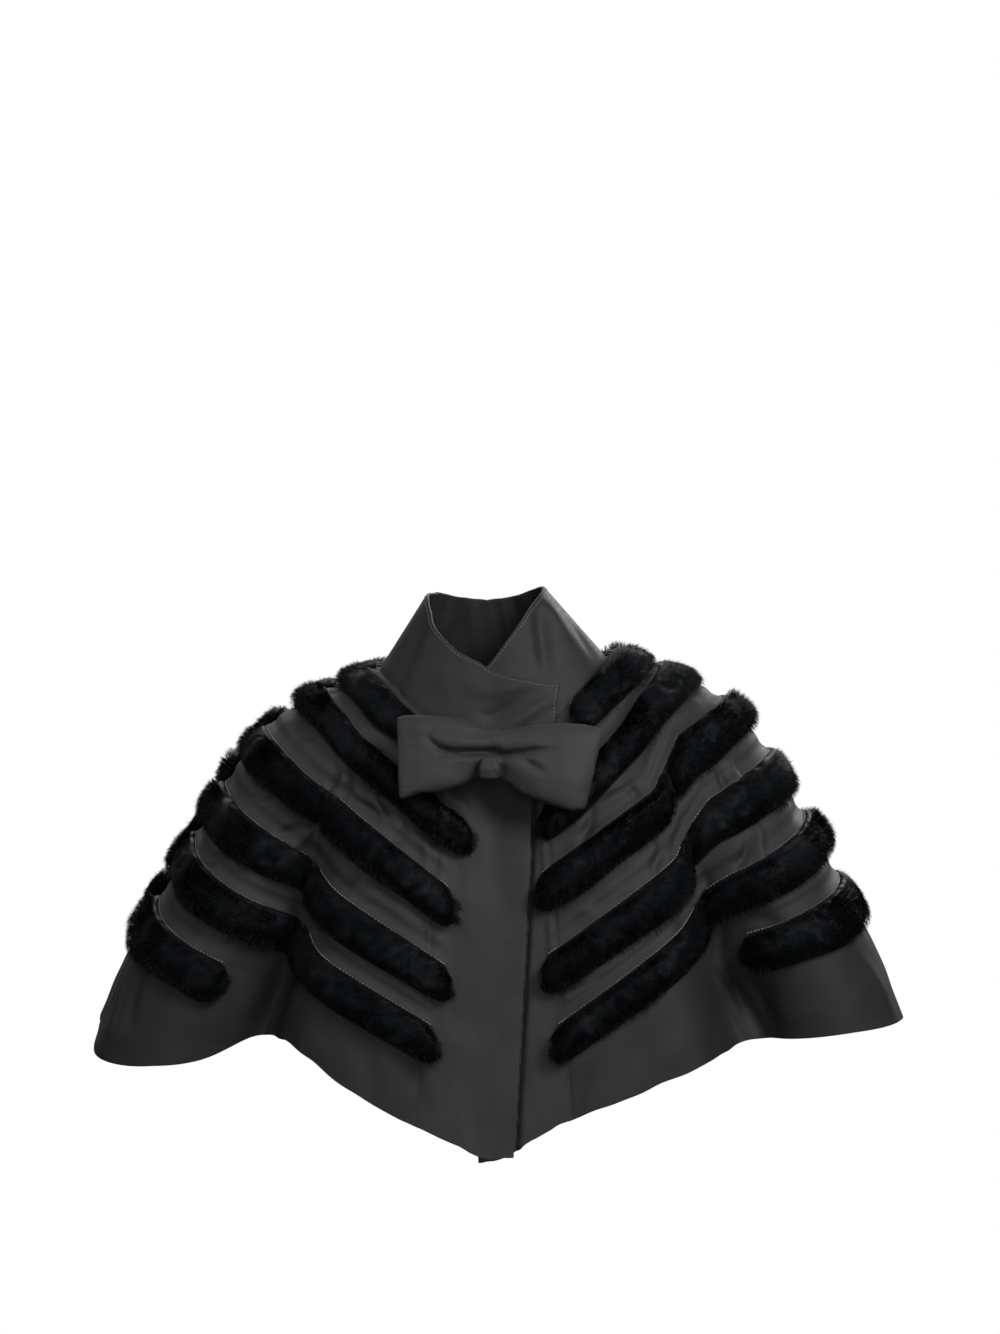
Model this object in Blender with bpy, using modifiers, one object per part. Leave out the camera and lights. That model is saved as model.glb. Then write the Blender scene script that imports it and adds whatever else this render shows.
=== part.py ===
"""A short evening cape in satin, with rows of fur, a crossed funnel collar and a padded bow.

Metres, +Z up. The front faces -Y and the wearer's right is -X. The origin is the middle of the neck
opening at the height of the side neck points, where the wearer's shoulders carry the cape.
"""

import math
from collections import namedtuple

import bmesh
import bpy
import numpy as np
from mathutils import Vector

for old_object in list(bpy.data.objects):
    bpy.data.objects.remove(old_object, do_unlink=True)

NAME = "fur_row_cape"
RIGHT = -1
LEFT = 1

# Walls, seams and the nap of the fur
CLOTH = 0.0020
COLLAR_CLOTH = 0.0025
SEAM_GAP = 0.0003
NAP_GAP = 0.0008
NAP_HEIGHT = 0.0170
END_LIFT = 0.0014
FUR_BASE = 0.0155
FUR_SIDE = 0.0200
FUR_CROWN = 0.0105
FUR_TIP = 0.0130

# The right front lies on the left one: its pieces stand off between these angles from the front
OVERLAP_LIFT = 0.0042
LIFT_BEGINS = 58.0
LIFT_FULL = 44.0

# Half width of the blunt tip that the front neckline and hem come to, as a share of the half width
BLUNT = 0.06

# Sections of the body from neck seam to hem, each at its distance down the shoulder line
Section = namedtuple(
    "Section",
    "along left_width right_width front_reach back_reach side_height right_fall front_drop back_drop",
)
SECTIONS = (
    Section(0.000, 0.099, 0.102, 0.080, 0.068, 0.005, 0.010, 0.097, 0.018),
    Section(0.040, 0.137, 0.136, 0.099, 0.092, -0.005, 0.015, 0.116, 0.032),
    Section(0.100, 0.191, 0.180, 0.122, 0.118, -0.028, 0.013, 0.140, 0.052),
    Section(0.162, 0.234, 0.218, 0.140, 0.138, -0.073, 0.005, 0.154, 0.062),
    Section(0.226, 0.266, 0.248, 0.153, 0.152, -0.129, 0.001, 0.161, 0.068),
    Section(0.293, 0.298, 0.281, 0.165, 0.166, -0.187, 0.000, 0.165, 0.074),
    Section(0.346, 0.326, 0.309, 0.174, 0.178, -0.234, 0.000, 0.168, 0.078),
    Section(0.430, 0.359, 0.344, 0.188, 0.196, -0.312, 0.000, 0.170, 0.084),
    Section(0.460, 0.370, 0.355, 0.193, 0.203, -0.340, 0.000, 0.171, 0.086),
)

# Folds of the drape: where round the body, how wide, how far out, and where they start and are full
Fold = namedtuple("Fold", "turn spread push starts full")
FOLDS = (
    Fold(-43.0, 8.0, -0.060, 0.090, 0.340),
    Fold(-65.0, 14.0, 0.024, 0.120, 0.400),
    Fold(44.0, 8.0, -0.056, 0.110, 0.360),
    Fold(67.0, 14.0, 0.018, 0.120, 0.400),
    Fold(-104.0, 11.0, 0.012, 0.130, 0.400),
    Fold(-128.0, 12.0, -0.026, 0.150, 0.420),
    Fold(-153.0, 12.0, 0.018, 0.160, 0.420),
    Fold(180.0, 12.0, -0.022, 0.160, 0.420),
    Fold(153.0, 12.0, 0.018, 0.160, 0.420),
    Fold(127.0, 12.0, -0.026, 0.150, 0.420),
    Fold(104.0, 11.0, -0.004, 0.130, 0.400),
)

# Stations round one half: 0 front edge, 1 placket seam, 2 deep fold, 3 side line, 4 centre back
Placket = namedtuple("Placket", "edge_at_neck edge_at_hem seam_at_neck seam_at_hem")
PLACKET = Placket(0.033, 0.015, 0.037, 0.065)
FRONT_LENGTH = 0.367
FOLD_ANGLE_NECK = 52.0
FOLD_ANGLE_HEM = 43.5

# Middle lines of the fur rows, as distances down from the neck seam: at the placket seam, on both sides
# of the deep fold, at the side line and round the back
Row = namedtuple("Row", "name front before_fold past_fold side back")
ROW_STATIONS = (1.0, 1.857, 2.167, 3.0)
FUR_ROWS = {
    RIGHT: (
        Row("a", 0.028, 0.027, 0.026, 0.024, 0.021),
        Row("b", 0.094, 0.087, 0.081, 0.069, 0.064),
        Row("c", 0.163, 0.155, 0.157, 0.145, 0.127),
        Row("d", 0.229, 0.229, 0.224, 0.211, 0.187),
        Row("e", 0.288, 0.289, 0.286, 0.262, 0.249),
        Row("f", 0.345, 0.350, 0.346, 0.318, 0.311),
    ),
    LEFT: (
        Row("a", 0.023, 0.021, 0.021, 0.021, 0.021),
        Row("b", 0.094, 0.079, 0.070, 0.064, 0.064),
        Row("c", 0.151, 0.149, 0.124, 0.127, 0.127),
        Row("d", 0.221, 0.212, 0.186, 0.187, 0.187),
        Row("e", 0.286, 0.268, 0.256, 0.249, 0.249),
        Row("f", 0.330, 0.320, 0.314, 0.311, 0.311),
    ),
}
Hem = namedtuple("Hem", "edge front drape fold rise flute crest side behind back")
HEM = {
    RIGHT: Hem(0.366, 0.3635, 0.3585, 0.379, 0.413, 0.427, 0.438, 0.428, 0.394, 0.386),
    LEFT: Hem(0.371, 0.3565, 0.369, 0.387, 0.396, 0.402, 0.415, 0.424, 0.394, 0.386),
}
HEM_STATIONS = (0.0, 1.0, 1.65, 2.0, 2.15, 2.3, 2.6, 3.0, 3.5, 4.0)

# Cloth panels between stations
Panel = namedtuple("Panel", "name side starts ends spans")
PANELS = (
    Panel("placket_right", RIGHT, 0, 1, 4),
    Panel("front_right", RIGHT, 1, 2, 7),
    Panel("side_right", RIGHT, 2, 3, 12),
    Panel("side_left", LEFT, 2, 3, 12),
    Panel("front_left", LEFT, 1, 2, 7),
    Panel("placket_left", LEFT, 0, 1, 4),
)
BACK_SPANS = 14

# Fur strips: row and side, and the stations where their rounded ends lie; those that end at 4 or
# more go on over the centre back to the right side line
Strip = namedtuple("Strip", "name row side starts ends")
OVER_BACK = 4.0
STRIPS = (
    Strip("fur_a_right", "a", RIGHT, 1.30, 2.98),
    Strip("fur_b_right", "b", RIGHT, 0.64, 2.98),
    Strip("fur_c_right_front", "c", RIGHT, 0.78, 1.990),
    Strip("fur_c_right_side", "c", RIGHT, 2.010, 2.98),
    Strip("fur_d_right_front", "d", RIGHT, 0.75, 1.990),
    Strip("fur_d_right_side", "d", RIGHT, 2.010, 2.98),
    Strip("fur_e_right_front", "e", RIGHT, 0.85, 1.990),
    Strip("fur_e_right_side", "e", RIGHT, 2.010, 2.98),
    Strip("fur_f_right_side", "f", RIGHT, 2.167, 2.84),
    Strip("fur_a_left_back", "a", LEFT, 1.48, OVER_BACK),
    Strip("fur_b_left_back", "b", LEFT, 0.91, OVER_BACK),
    Strip("fur_c_left_front", "c", LEFT, 0.80, 1.990),
    Strip("fur_c_left_back", "c", LEFT, 2.010, OVER_BACK),
    Strip("fur_d_left_front", "d", LEFT, 0.80, 1.990),
    Strip("fur_d_left_back", "d", LEFT, 2.010, OVER_BACK),
    Strip("fur_e_left_front", "e", LEFT, 0.85, 1.990),
    Strip("fur_e_left_back", "e", LEFT, 2.010, OVER_BACK),
    Strip("fur_f_left_back", "f", LEFT, 2.12, OVER_BACK),
)
BACK_ENDS = 3.02

# Collar: a cone on the neck seam, cut along its upper edge
CollarTop = namedtuple("CollarTop", "half_width front back height shift tilt")
COLLAR_TOP = CollarTop(0.0500, 0.0450, 0.0480, 0.0680, -0.0085, 0.06)
COLLAR_SPANS_UP = 4
CollarEdge = namedtuple("CollarEdge", "angle share")
COLLAR_EDGE = {
    RIGHT: (
        CollarEdge(-40.0, 0.18),
        CollarEdge(-17.0, 0.435),
        CollarEdge(2.0, 0.58),
        CollarEdge(22.0, 0.60),
        CollarEdge(36.0, 0.66),
        CollarEdge(54.0, 0.79),
        CollarEdge(78.0, 0.945),
        CollarEdge(100.0, 0.96),
        CollarEdge(130.0, 0.94),
        CollarEdge(158.0, 0.862),
        CollarEdge(180.0, 0.822),
    ),
    LEFT: (
        CollarEdge(-40.0, 0.15),
        CollarEdge(-20.0, 0.42),
        CollarEdge(0.0, 0.595),
        CollarEdge(23.0, 0.732),
        CollarEdge(41.0, 0.832),
        CollarEdge(58.0, 0.905),
        CollarEdge(84.0, 0.965),
        CollarEdge(104.0, 0.965),
        CollarEdge(135.0, 0.907),
        CollarEdge(155.0, 0.850),
        CollarEdge(180.0, 0.822),
    ),
}
COLLAR_END_TOP = -39.0
COLLAR_END_FOOT = -31.0
COLLAR_END_SPANS = 2

# Bow: sections across it, with its upper and lower edge and how far it swells to front and back
BowSection = namedtuple("BowSection", "across top bottom front back slant")
BOW_SECTIONS = (
    BowSection(-0.0850, -0.0500, -0.1110, 0.0040, 0.0030, 0.0000),
    BowSection(-0.0836, -0.0440, -0.1170, 0.0085, 0.0060, 0.0000),
    BowSection(-0.0660, -0.0430, -0.1126, 0.0140, 0.0080, 0.0000),
    BowSection(-0.0484, -0.0440, -0.1118, 0.0160, 0.0090, 0.0000),
    BowSection(-0.0308, -0.0458, -0.1074, 0.0160, 0.0100, 0.0000),
    BowSection(-0.0176, -0.0500, -0.1020, 0.0125, 0.0160, 0.0000),
    BowSection(-0.0060, -0.0546, -0.0986, 0.0080, 0.0413, 0.0000),
    BowSection(0.0044, -0.0563, -0.1020, 0.0080, 0.0413, 0.0000),
    BowSection(0.0220, -0.0528, -0.1144, 0.0125, 0.0150, 0.0000),
    BowSection(0.0396, -0.0506, -0.1197, 0.0160, 0.0100, 0.0005),
    BowSection(0.0572, -0.0493, -0.1240, 0.0160, 0.0090, 0.0020),
    BowSection(0.0730, -0.0510, -0.1270, 0.0140, 0.0080, 0.0045),
    BowSection(0.0860, -0.0550, -0.1255, 0.0085, 0.0060, 0.0075),
    BowSection(0.0872, -0.0610, -0.1190, 0.0040, 0.0030, 0.0070),
)
BOW_AROUND = 16
BOW_SQUARE = 2.6
BOW_PLANE = -0.1260
BOW_TILT = 0.42
BOW_MIDDLE = -0.0750
BOW_RAISE = 0.0100
Knot = namedtuple("Knot", "across height width tall deep plane")
KNOT = Knot(-0.0050, -0.0790, 0.0190, 0.0210, 0.0120, -0.1440)

# Looks of the parts
SATIN = (0.045, 0.045, 0.047, 1.0)
FUR = (0.004, 0.005, 0.006, 1.0)


def smooth(position, stations, values):
    """Value of a smooth curve through the stations."""
    slopes = np.gradient(np.asarray(values, float), np.asarray(stations, float))
    low = int(np.clip(np.searchsorted(stations, position) - 1, 0, len(stations) - 2))
    span = stations[low + 1] - stations[low]
    t = float(np.clip((position - stations[low]) / span, 0.0, 1.0))
    rise = t * t * (3.0 - 2.0 * t)
    first = values[low] * (1.0 - rise) + values[low + 1] * rise
    return first + span * t * (1.0 - t) * (slopes[low] * (1.0 - t) - slopes[low + 1] * t)


def step(value, begins, full):
    """0 before it begins, 1 once it is full, and a soft rise between."""
    t = float(np.clip((value - begins) / (full - begins), 0.0, 1.0))
    return t * t * (3.0 - 2.0 * t)


SECTION_ALONG = tuple(section.along for section in SECTIONS)


def section_at(along):
    """All sizes of the body at one distance down from the neck."""
    columns = list(zip(*SECTIONS))[1:]
    return Section(along, *(smooth(along, SECTION_ALONG, column) for column in columns))


def ring_point(along, turn):
    """Point of the draped body; turn is in radians from the front, positive to the wearer's left."""
    section = section_at(along)
    sideways = math.sin(turn)
    forward = math.cos(turn)
    half_width = section.left_width if sideways > 0 else section.right_width
    reach = section.front_reach if forward > 0 else section.back_reach
    if forward > 0:
        drop = section.front_drop * (1.0 - math.hypot(sideways, BLUNT * abs(forward)))
    else:
        drop = section.back_drop * forward * forward
    drop += section.right_fall * max(0.0, -sideways) ** 2
    point = Vector((half_width * sideways, -reach * forward, section.side_height - drop))
    outward = Vector((sideways / half_width, -forward / reach, 0.0)).normalized()
    push = 0.0
    for fold in FOLDS:
        apart = (math.degrees(turn) - fold.turn + 180.0) % 360.0 - 180.0
        push += fold.push * math.exp(-((apart / fold.spread) ** 2)) * step(along, fold.starts, fold.full)
    return point + outward * push


def surface_normal(place, first, second):
    """Outward normal of a surface of two numbers, from points close by."""
    small = 1e-4
    across = place(first, second + small) - place(first, second - small)
    down = place(first + small, second) - place(first - small, second)
    return across.cross(-down).normalized()


def lift_of(side, own):
    """Level move that takes a piece of the right side clear of the left side where they cross."""
    if side == LEFT:
        return Vector((0.0, 0.0, 0.0))
    turn = math.radians(own) * side
    amount = OVERLAP_LIFT * (1.0 - step(own, LIFT_FULL, LIFT_BEGINS))
    return Vector((math.sin(turn), -math.cos(turn), 0.0)) * amount


def station_angle(side, around, along):
    """Angle from the front, on the piece's own side, of a station at a distance down from the neck."""
    section = section_at(along)
    half_width = section.left_width if side == LEFT else section.right_width
    share = along / FRONT_LENGTH
    edge = PLACKET.edge_at_neck + (PLACKET.edge_at_hem - PLACKET.edge_at_neck) * share
    seam = PLACKET.seam_at_neck + (PLACKET.seam_at_hem - PLACKET.seam_at_neck) * share
    fold = FOLD_ANGLE_NECK + (FOLD_ANGLE_HEM - FOLD_ANGLE_NECK) * step(along, 0.0, 0.16)
    angles = (
        -math.degrees(math.asin(edge / half_width)),
        math.degrees(math.asin(seam / half_width)),
        fold,
        90.0,
        180.0,
    )
    return float(np.interp(around, range(5), angles))


def cape_point(side, around, along, out=0.0):
    """Point on the cape, moved out from its cloth."""
    own = station_angle(side, around, along)
    turn = math.radians(own) * side
    normal = surface_normal(ring_point, along, turn)
    return ring_point(along, turn) + normal * out + lift_of(side, own)


def row_along(row, around):
    """Distance of a fur row down from the neck at a station."""
    if around > 3.0:
        return row.back
    return float(np.interp(around, ROW_STATIONS, (row.front, row.before_fold, row.past_fold, row.side)))


def hem_along(side, around):
    return smooth(around, HEM_STATIONS, HEM[side])


def panel_rows(side, around, on_back):
    """Distances down from the neck of a panel's rows: both edges of each fur row, then the hem."""
    rows = [0.0]
    for row in FUR_ROWS[side]:
        middle = row.back if on_back else row_along(row, around)
        rows += [middle - FUR_BASE, middle + FUR_BASE]
    hem = hem_along(side, around)
    rows += [0.5 * (rows[-1] + hem), hem]
    return rows


def seam_inset(points):
    """Moves the neck edge and both side edges of a grid of points in by half a seam."""
    half = 0.5 * SEAM_GAP
    inset = [list(line) for line in points]
    for line, kept in zip(inset, points):
        line[0] = kept[0] + (kept[1] - kept[0]).normalized() * half
        line[-1] = kept[-1] + (kept[-2] - kept[-1]).normalized() * half
    for place in range(len(points[0])):
        inset[0][place] = inset[0][place] + (points[1][place] - points[0][place]).normalized() * half
    return inset


collection = bpy.data.collections.new(NAME)
bpy.context.scene.collection.children.link(collection)


def make_material(name, colour, roughness, sheen):
    material = bpy.data.materials.new(name)
    material.use_nodes = True
    shader = material.node_tree.nodes["Principled BSDF"]
    shader.inputs["Base Color"].default_value = colour
    shader.inputs["Roughness"].default_value = roughness
    shader.inputs["Sheen Weight"].default_value = sheen
    return material


def add_object(name, bm, colour, roughness, sheen, smooth_angle=50.0):
    mesh = bpy.data.meshes.new(name)
    bm.to_mesh(mesh)
    bm.free()
    mesh.materials.append(make_material(name + "_look", colour, roughness, sheen))
    mesh.shade_smooth()
    mesh.set_sharp_from_angle(angle=math.radians(smooth_angle))
    made = bpy.data.objects.new(name, mesh)
    collection.objects.link(made)
    return made


def grid_of(points):
    """A grid mesh whose corners are moved onto a table of points, row by row."""
    bm = bmesh.new()
    across = len(points[0]) - 1
    down = len(points) - 1
    bmesh.ops.create_grid(bm, x_segments=across, y_segments=down, size=1.0)
    for corner in bm.verts:
        column = round((corner.co.x + 1.0) * 0.5 * across)
        row = round((1.0 - corner.co.y) * 0.5 * down)
        corner.co = points[row][column]
    return bm


def cloth_piece(name, outer, inner):
    """A wall of cloth: its outer sheet and its inner sheet, joined round their edges."""
    bm = grid_of(outer)
    sheet = bpy.data.meshes.new(name + "_inside")
    inside = grid_of(inner)
    bmesh.ops.reverse_faces(inside, faces=inside.faces[:])
    inside.to_mesh(sheet)
    inside.free()
    bm.from_mesh(sheet)
    bpy.data.meshes.remove(sheet)
    bmesh.ops.bridge_loops(bm, edges=[edge for edge in bm.edges if edge.is_boundary])
    bmesh.ops.triangulate(bm, faces=bm.faces[:], quad_method="SHORT_EDGE")
    bmesh.ops.recalc_face_normals(bm, faces=bm.faces[:])
    return add_object(name, bm, SATIN, 0.45, 0.3)


def closed_piece(name, sections, colour, roughness, sheen):
    """A closed body through sections of equal point count, with both ends filled."""
    bm = grid_of([list(section) + [section[0]] for section in sections])
    bmesh.ops.remove_doubles(bm, verts=bm.verts[:], dist=1e-6)
    edges = [edge for edge in bm.edges if edge.is_boundary]
    bmesh.ops.holes_fill(bm, edges=edges, sides=0)
    bmesh.ops.triangulate(bm, faces=bm.faces[:], quad_method="SHORT_EDGE")
    bmesh.ops.recalc_face_normals(bm, faces=bm.faces[:])
    return add_object(name, bm, colour, roughness, sheen)


def panel_points(columns, on_back, out):
    """Points of a panel: a line of points for each row, a point for each (side, station) column."""
    lines = [panel_rows(side, around, on_back) for side, around in columns]
    return [
        [cape_point(side, around, lines[i][row], out) for i, (side, around) in enumerate(columns)]
        for row in range(len(lines[0]))
    ]


def columns_between(side, starts, ends, spans):
    return [(side, float(around)) for around in np.linspace(starts, ends, spans + 1)]


def make_panel(name, columns, on_back):
    outer = seam_inset(panel_points(columns, on_back, 0.0))
    inner = seam_inset(panel_points(columns, on_back, -CLOTH))
    cloth_piece(name, outer, inner)


def make_panels():
    for panel in PANELS:
        make_panel(panel.name, columns_between(panel.side, panel.starts, panel.ends, panel.spans), False)
    make_panel("back", BACK_COLUMNS, True)


BACK_COLUMNS = columns_between(RIGHT, 3, 4, BACK_SPANS)
BACK_COLUMNS += columns_between(LEFT, 4, 3, BACK_SPANS)[1:]
PANEL_COLUMNS = sorted({
    around
    for panel in PANELS
    for _, around in columns_between(panel.side, panel.starts, panel.ends, panel.spans)
} | {around for _, around in BACK_COLUMNS} | {4.0 + 1.0 / BACK_SPANS})


def fur_section(side, around, middle_of, width, tall):
    """Section of a fur strip: flat foot on the panel's facets, swelling sides and a rounded crown."""
    profile = (
        (-FUR_BASE, NAP_GAP),
        (-FUR_SIDE, 0.45 * NAP_HEIGHT),
        (-FUR_CROWN, NAP_HEIGHT),
        (FUR_CROWN, NAP_HEIGHT),
        (FUR_SIDE, 0.45 * NAP_HEIGHT),
        (FUR_BASE, NAP_GAP),
    )
    low = max(column for column in PANEL_COLUMNS if column <= around)
    high = min(column for column in PANEL_COLUMNS if column > low)
    share = (around - low) / (high - low)
    points = []
    for across, height in profile:
        out = max(NAP_GAP + END_LIFT * (1.0 - tall), height * tall)
        first = cape_point(side, low, middle_of(side, low) + across * width, out)
        second = cape_point(side, high, middle_of(side, high) + across * width, out)
        points.append(first.lerp(second, share))
    return points


def station_length(side, around, middle):
    """Length of cloth, across one station, near a place."""
    return (cape_point(side, around + 0.01, middle) - cape_point(side, around - 0.01, middle)).length / 0.02


def strip_sections(columns, middle_of):
    """Sections of a strip through its columns, with two more near each end."""
    (first_side, first), (last_side, last) = columns[0], columns[-1]
    inner = columns[1:-1]
    sections = []
    for side, around, nearest in ((first_side, first, columns[1][1]), (last_side, last, columns[-2][1])):
        shape, tip = (FOLD_END_SHAPE, FOLD_TIP) if abs(around - DEEP_FOLD) < 0.05 else (END_SHAPE, FUR_TIP)
        inwards = 1 if nearest > around else -1
        one = inwards * tip / station_length(side, around, middle_of(side, around))
        sections.append([(side, around + end.share * one, end.width, end.tall) for end in shape])
    sections[1].reverse()
    reach = abs(sections[0][-1][1] - first)
    back_reach = abs(sections[1][0][1] - last)
    kept = []
    for side, around in inner:
        near_first = side == first_side and abs(around - first) < 1.5 * reach
        near_last = side == last_side and abs(around - last) < 1.5 * back_reach
        if not near_first and not near_last:
            kept.append((side, around, 1.0, 1.0))
    places = sections[0] + kept + sections[1]
    return [fur_section(side, around, middle_of, width, tall) for side, around, width, tall in places]


# Shape of a strip's rounded end, and of one pressed against its neighbour in the deep fold: distance
# from the end, width and height there, as shares
EndPoint = namedtuple("EndPoint", "share width tall")
END_SHAPE = (EndPoint(0.0, 0.50, 0.50), EndPoint(0.40, 0.84, 0.84), EndPoint(1.0, 1.0, 1.0))
FOLD_END_SHAPE = (EndPoint(0.0, 0.84, 0.45), EndPoint(0.35, 0.96, 0.75), EndPoint(1.0, 1.0, 1.0))
FOLD_TIP = 0.0170
DEEP_FOLD = 2.0


def strip_columns(strip):
    """Columns of a strip: its two ends and every panel column between them."""
    inside = [around for around in PANEL_COLUMNS if strip.starts < around < strip.ends]
    columns = [(strip.side, around) for around in [strip.starts, *inside]]
    if strip.ends < OVER_BACK:
        return [*columns, (strip.side, strip.ends)]
    beyond = [around for around in PANEL_COLUMNS if BACK_ENDS < around <= OVER_BACK]
    return [*columns, *((-strip.side, around) for around in beyond[::-1]), (-strip.side, BACK_ENDS)]


def make_fur():
    for strip in STRIPS:
        row = next(row for row in FUR_ROWS[strip.side] if row.name == strip.row)

        def middle_of(side, around, row=row, own=strip.side):
            return row_along(row, around) if side == own else row.back

        closed_piece(strip.name, strip_sections(strip_columns(strip), middle_of), FUR, 0.9, 1.0)


def collar_cone(share, turn):
    """Point of the cone that the collar is cut from, before any lift."""
    foot = ring_point(0.0, turn)
    forward = math.cos(turn)
    reach = COLLAR_TOP.front if forward > 0 else COLLAR_TOP.back
    across = COLLAR_TOP.half_width * math.sin(turn) + COLLAR_TOP.shift
    top = Vector((across, -reach * forward, COLLAR_TOP.height + COLLAR_TOP.tilt * across))
    return foot + (top - foot) * share


def collar_point(side, own, share, out):
    turn = math.radians(own) * side
    normal = surface_normal(collar_cone, share, turn)
    if normal.dot(Vector((math.sin(turn), -math.cos(turn), 0.0))) < 0:
        normal = -normal
    return collar_cone(share, turn) + normal * out + lift_of(side, own)


def collar_half(side, up):
    """Angles of the collar's columns on one side, from its end to the centre back."""
    end = COLLAR_END_FOOT + (COLLAR_END_TOP - COLLAR_END_FOOT) * up
    seam = [station_angle(side, around, 0.0) for around in PANEL_COLUMNS if around <= 4.0]
    return [end + (seam[0] - end) * i / COLLAR_END_SPANS for i in range(COLLAR_END_SPANS)] + seam


def edge_share(side, own):
    """Height of the collar's upper edge at an angle, as a share of the cone's."""
    angles, shares = zip(*COLLAR_EDGE[side])
    return smooth(own, angles, shares)


def collar_points(out):
    """Points of the collar from its upper edge down to the neck seam, right end first."""
    points = []
    for level in range(COLLAR_SPANS_UP + 1):
        up = 1.0 - level / COLLAR_SPANS_UP
        stations = [(RIGHT, own) for own in collar_half(RIGHT, up)]
        stations += [(LEFT, own) for own in collar_half(LEFT, up)[-2::-1]]
        points.append([
            collar_point(side, own, up * edge_share(side, own), out) for side, own in stations
        ])
    for place, foot in enumerate(points[-1]):
        points[-1][place] = foot + (points[-2][place] - foot).normalized() * 0.5 * SEAM_GAP
    return points


def make_collar():
    cloth_piece("collar", collar_points(0.0), collar_points(-COLLAR_CLOTH))


def bow_section(section):
    """Soft square section of the bow, with its front and back swelling apart."""
    middle = 0.5 * (section.top + section.bottom) + BOW_RAISE
    half = 0.5 * (section.top - section.bottom)
    points = []
    for place in range(BOW_AROUND):
        angle = 2.0 * math.pi * (place + 0.5) / BOW_AROUND
        up = math.copysign(abs(math.sin(angle)) ** (2.0 / BOW_SQUARE), math.sin(angle))
        out = math.copysign(abs(math.cos(angle)) ** (2.0 / BOW_SQUARE), math.cos(angle))
        depth = -section.front * out if out > 0 else -section.back * out
        height = middle + half * up
        plane = BOW_PLANE + BOW_TILT * (height - BOW_MIDDLE)
        points.append(Vector((section.across + section.slant * up, plane + depth, height)))
    return points


def make_bow():
    closed_piece("bow_band", [bow_section(section) for section in BOW_SECTIONS], SATIN, 0.45, 0.3)
    bm = bmesh.new()
    bmesh.ops.create_cube(bm, size=1.0)
    for corner in bm.verts:
        corner.co.x = KNOT.across + corner.co.x * KNOT.width
        corner.co.y = KNOT.plane + corner.co.y * KNOT.deep
        corner.co.z = KNOT.height + corner.co.z * KNOT.tall
    knot = add_object("bow_knot", bm, SATIN, 0.45, 0.3)
    rounding = knot.modifiers.new("rounding", "BEVEL")
    rounding.width = 0.40 * KNOT.deep
    rounding.segments = 4
    return knot


make_panels()
make_fur()
make_collar()
make_bow()
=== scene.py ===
"""Looks of a short evening cape: satin panels, rows of plush fur, a crossed collar and a padded bow.

Metres, +Z up, front to -Y. The sizes and the surface of the cape are those of its solids; here the cloth
gets its creases, seams and stitching, the fur its hair, and the bow its padding.
"""

import math
from collections import namedtuple

import bpy
import numpy as np
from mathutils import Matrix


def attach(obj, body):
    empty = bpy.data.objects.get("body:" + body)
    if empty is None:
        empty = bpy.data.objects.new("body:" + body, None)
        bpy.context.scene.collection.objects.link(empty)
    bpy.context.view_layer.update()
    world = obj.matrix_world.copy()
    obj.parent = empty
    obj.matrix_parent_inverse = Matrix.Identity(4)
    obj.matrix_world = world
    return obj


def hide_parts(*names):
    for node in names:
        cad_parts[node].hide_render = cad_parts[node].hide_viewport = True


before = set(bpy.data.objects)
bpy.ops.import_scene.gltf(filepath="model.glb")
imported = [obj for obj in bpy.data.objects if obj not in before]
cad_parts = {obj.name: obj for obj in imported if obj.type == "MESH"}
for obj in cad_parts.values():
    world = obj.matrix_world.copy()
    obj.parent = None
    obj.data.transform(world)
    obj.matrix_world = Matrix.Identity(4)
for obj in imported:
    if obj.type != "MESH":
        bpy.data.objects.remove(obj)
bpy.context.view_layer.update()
bpy.ops.object.select_all(action="DESELECT")

RIGHT = -1
LEFT = 1

# Cloth: its walls, cut edges and seams, with the dip of the seam at each station
CLOTH = 0.0020
COLLAR_CLOTH = 0.0025
CUT_EDGE_ROUND = 0.32
CUT_EDGE_ANGLE = math.radians(60)
SEAM_DIP = (0.0, 0.0015, 0.0003, 0.0006, 0.0, 0.0006)
SEAM_WIDTH = 0.0027
SEAM_TUCK = 0.0012
NECK_SEAM_DIP = 0.0011
NECK_TUCK = 0.020
NECK_FLAT = 0.0045
BACK_SEAM_WIDTH = 0.0022
LEAST_ROW = 0.00025

# Folded edge of the cloth above each strip and the puffed band over it, across from the row's middle
LIP_HEIGHT = 0.0042
LIP_AT = -0.0178
LIP_SLOPE = 0.0130
LIP_DROP = 0.0022
BAND_PUFF = 0.0028
PUFF_BEGINS = -0.052
PUFF_FULL = -0.036
PUFF_ENDS = -0.022

# The right front lies on the left one: it stands off between these angles from the front, and the left
# placket dips beside its edge
OVERLAP_LIFT = 0.0042
LIFT_BEGINS = 58.0
LIFT_FULL = 44.0
LAP_GAP = 0.0046
LAP_GAP_WIDTH = 0.0026
LAP_GAP_OUT = 0.0014

# Half width of the blunt tip that the front neckline and hem come to, as a share of the half width
BLUNT = 0.06

# Unevenness of the cloth: its height, how often it comes to a station and to a metre, and its seed
Rumple = namedtuple("Rumple", "height per_station shift per_metre seed")
FINE_RUMPLE = Rumple(0.0005, 9.0, 3.0, 55.0, 11)
BROAD_RUMPLE = Rumple(0.0009, 3.5, 7.0, 14.0, 12)
YOKE_TOP = 0.02
YOKE_FOOT = 0.08

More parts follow.
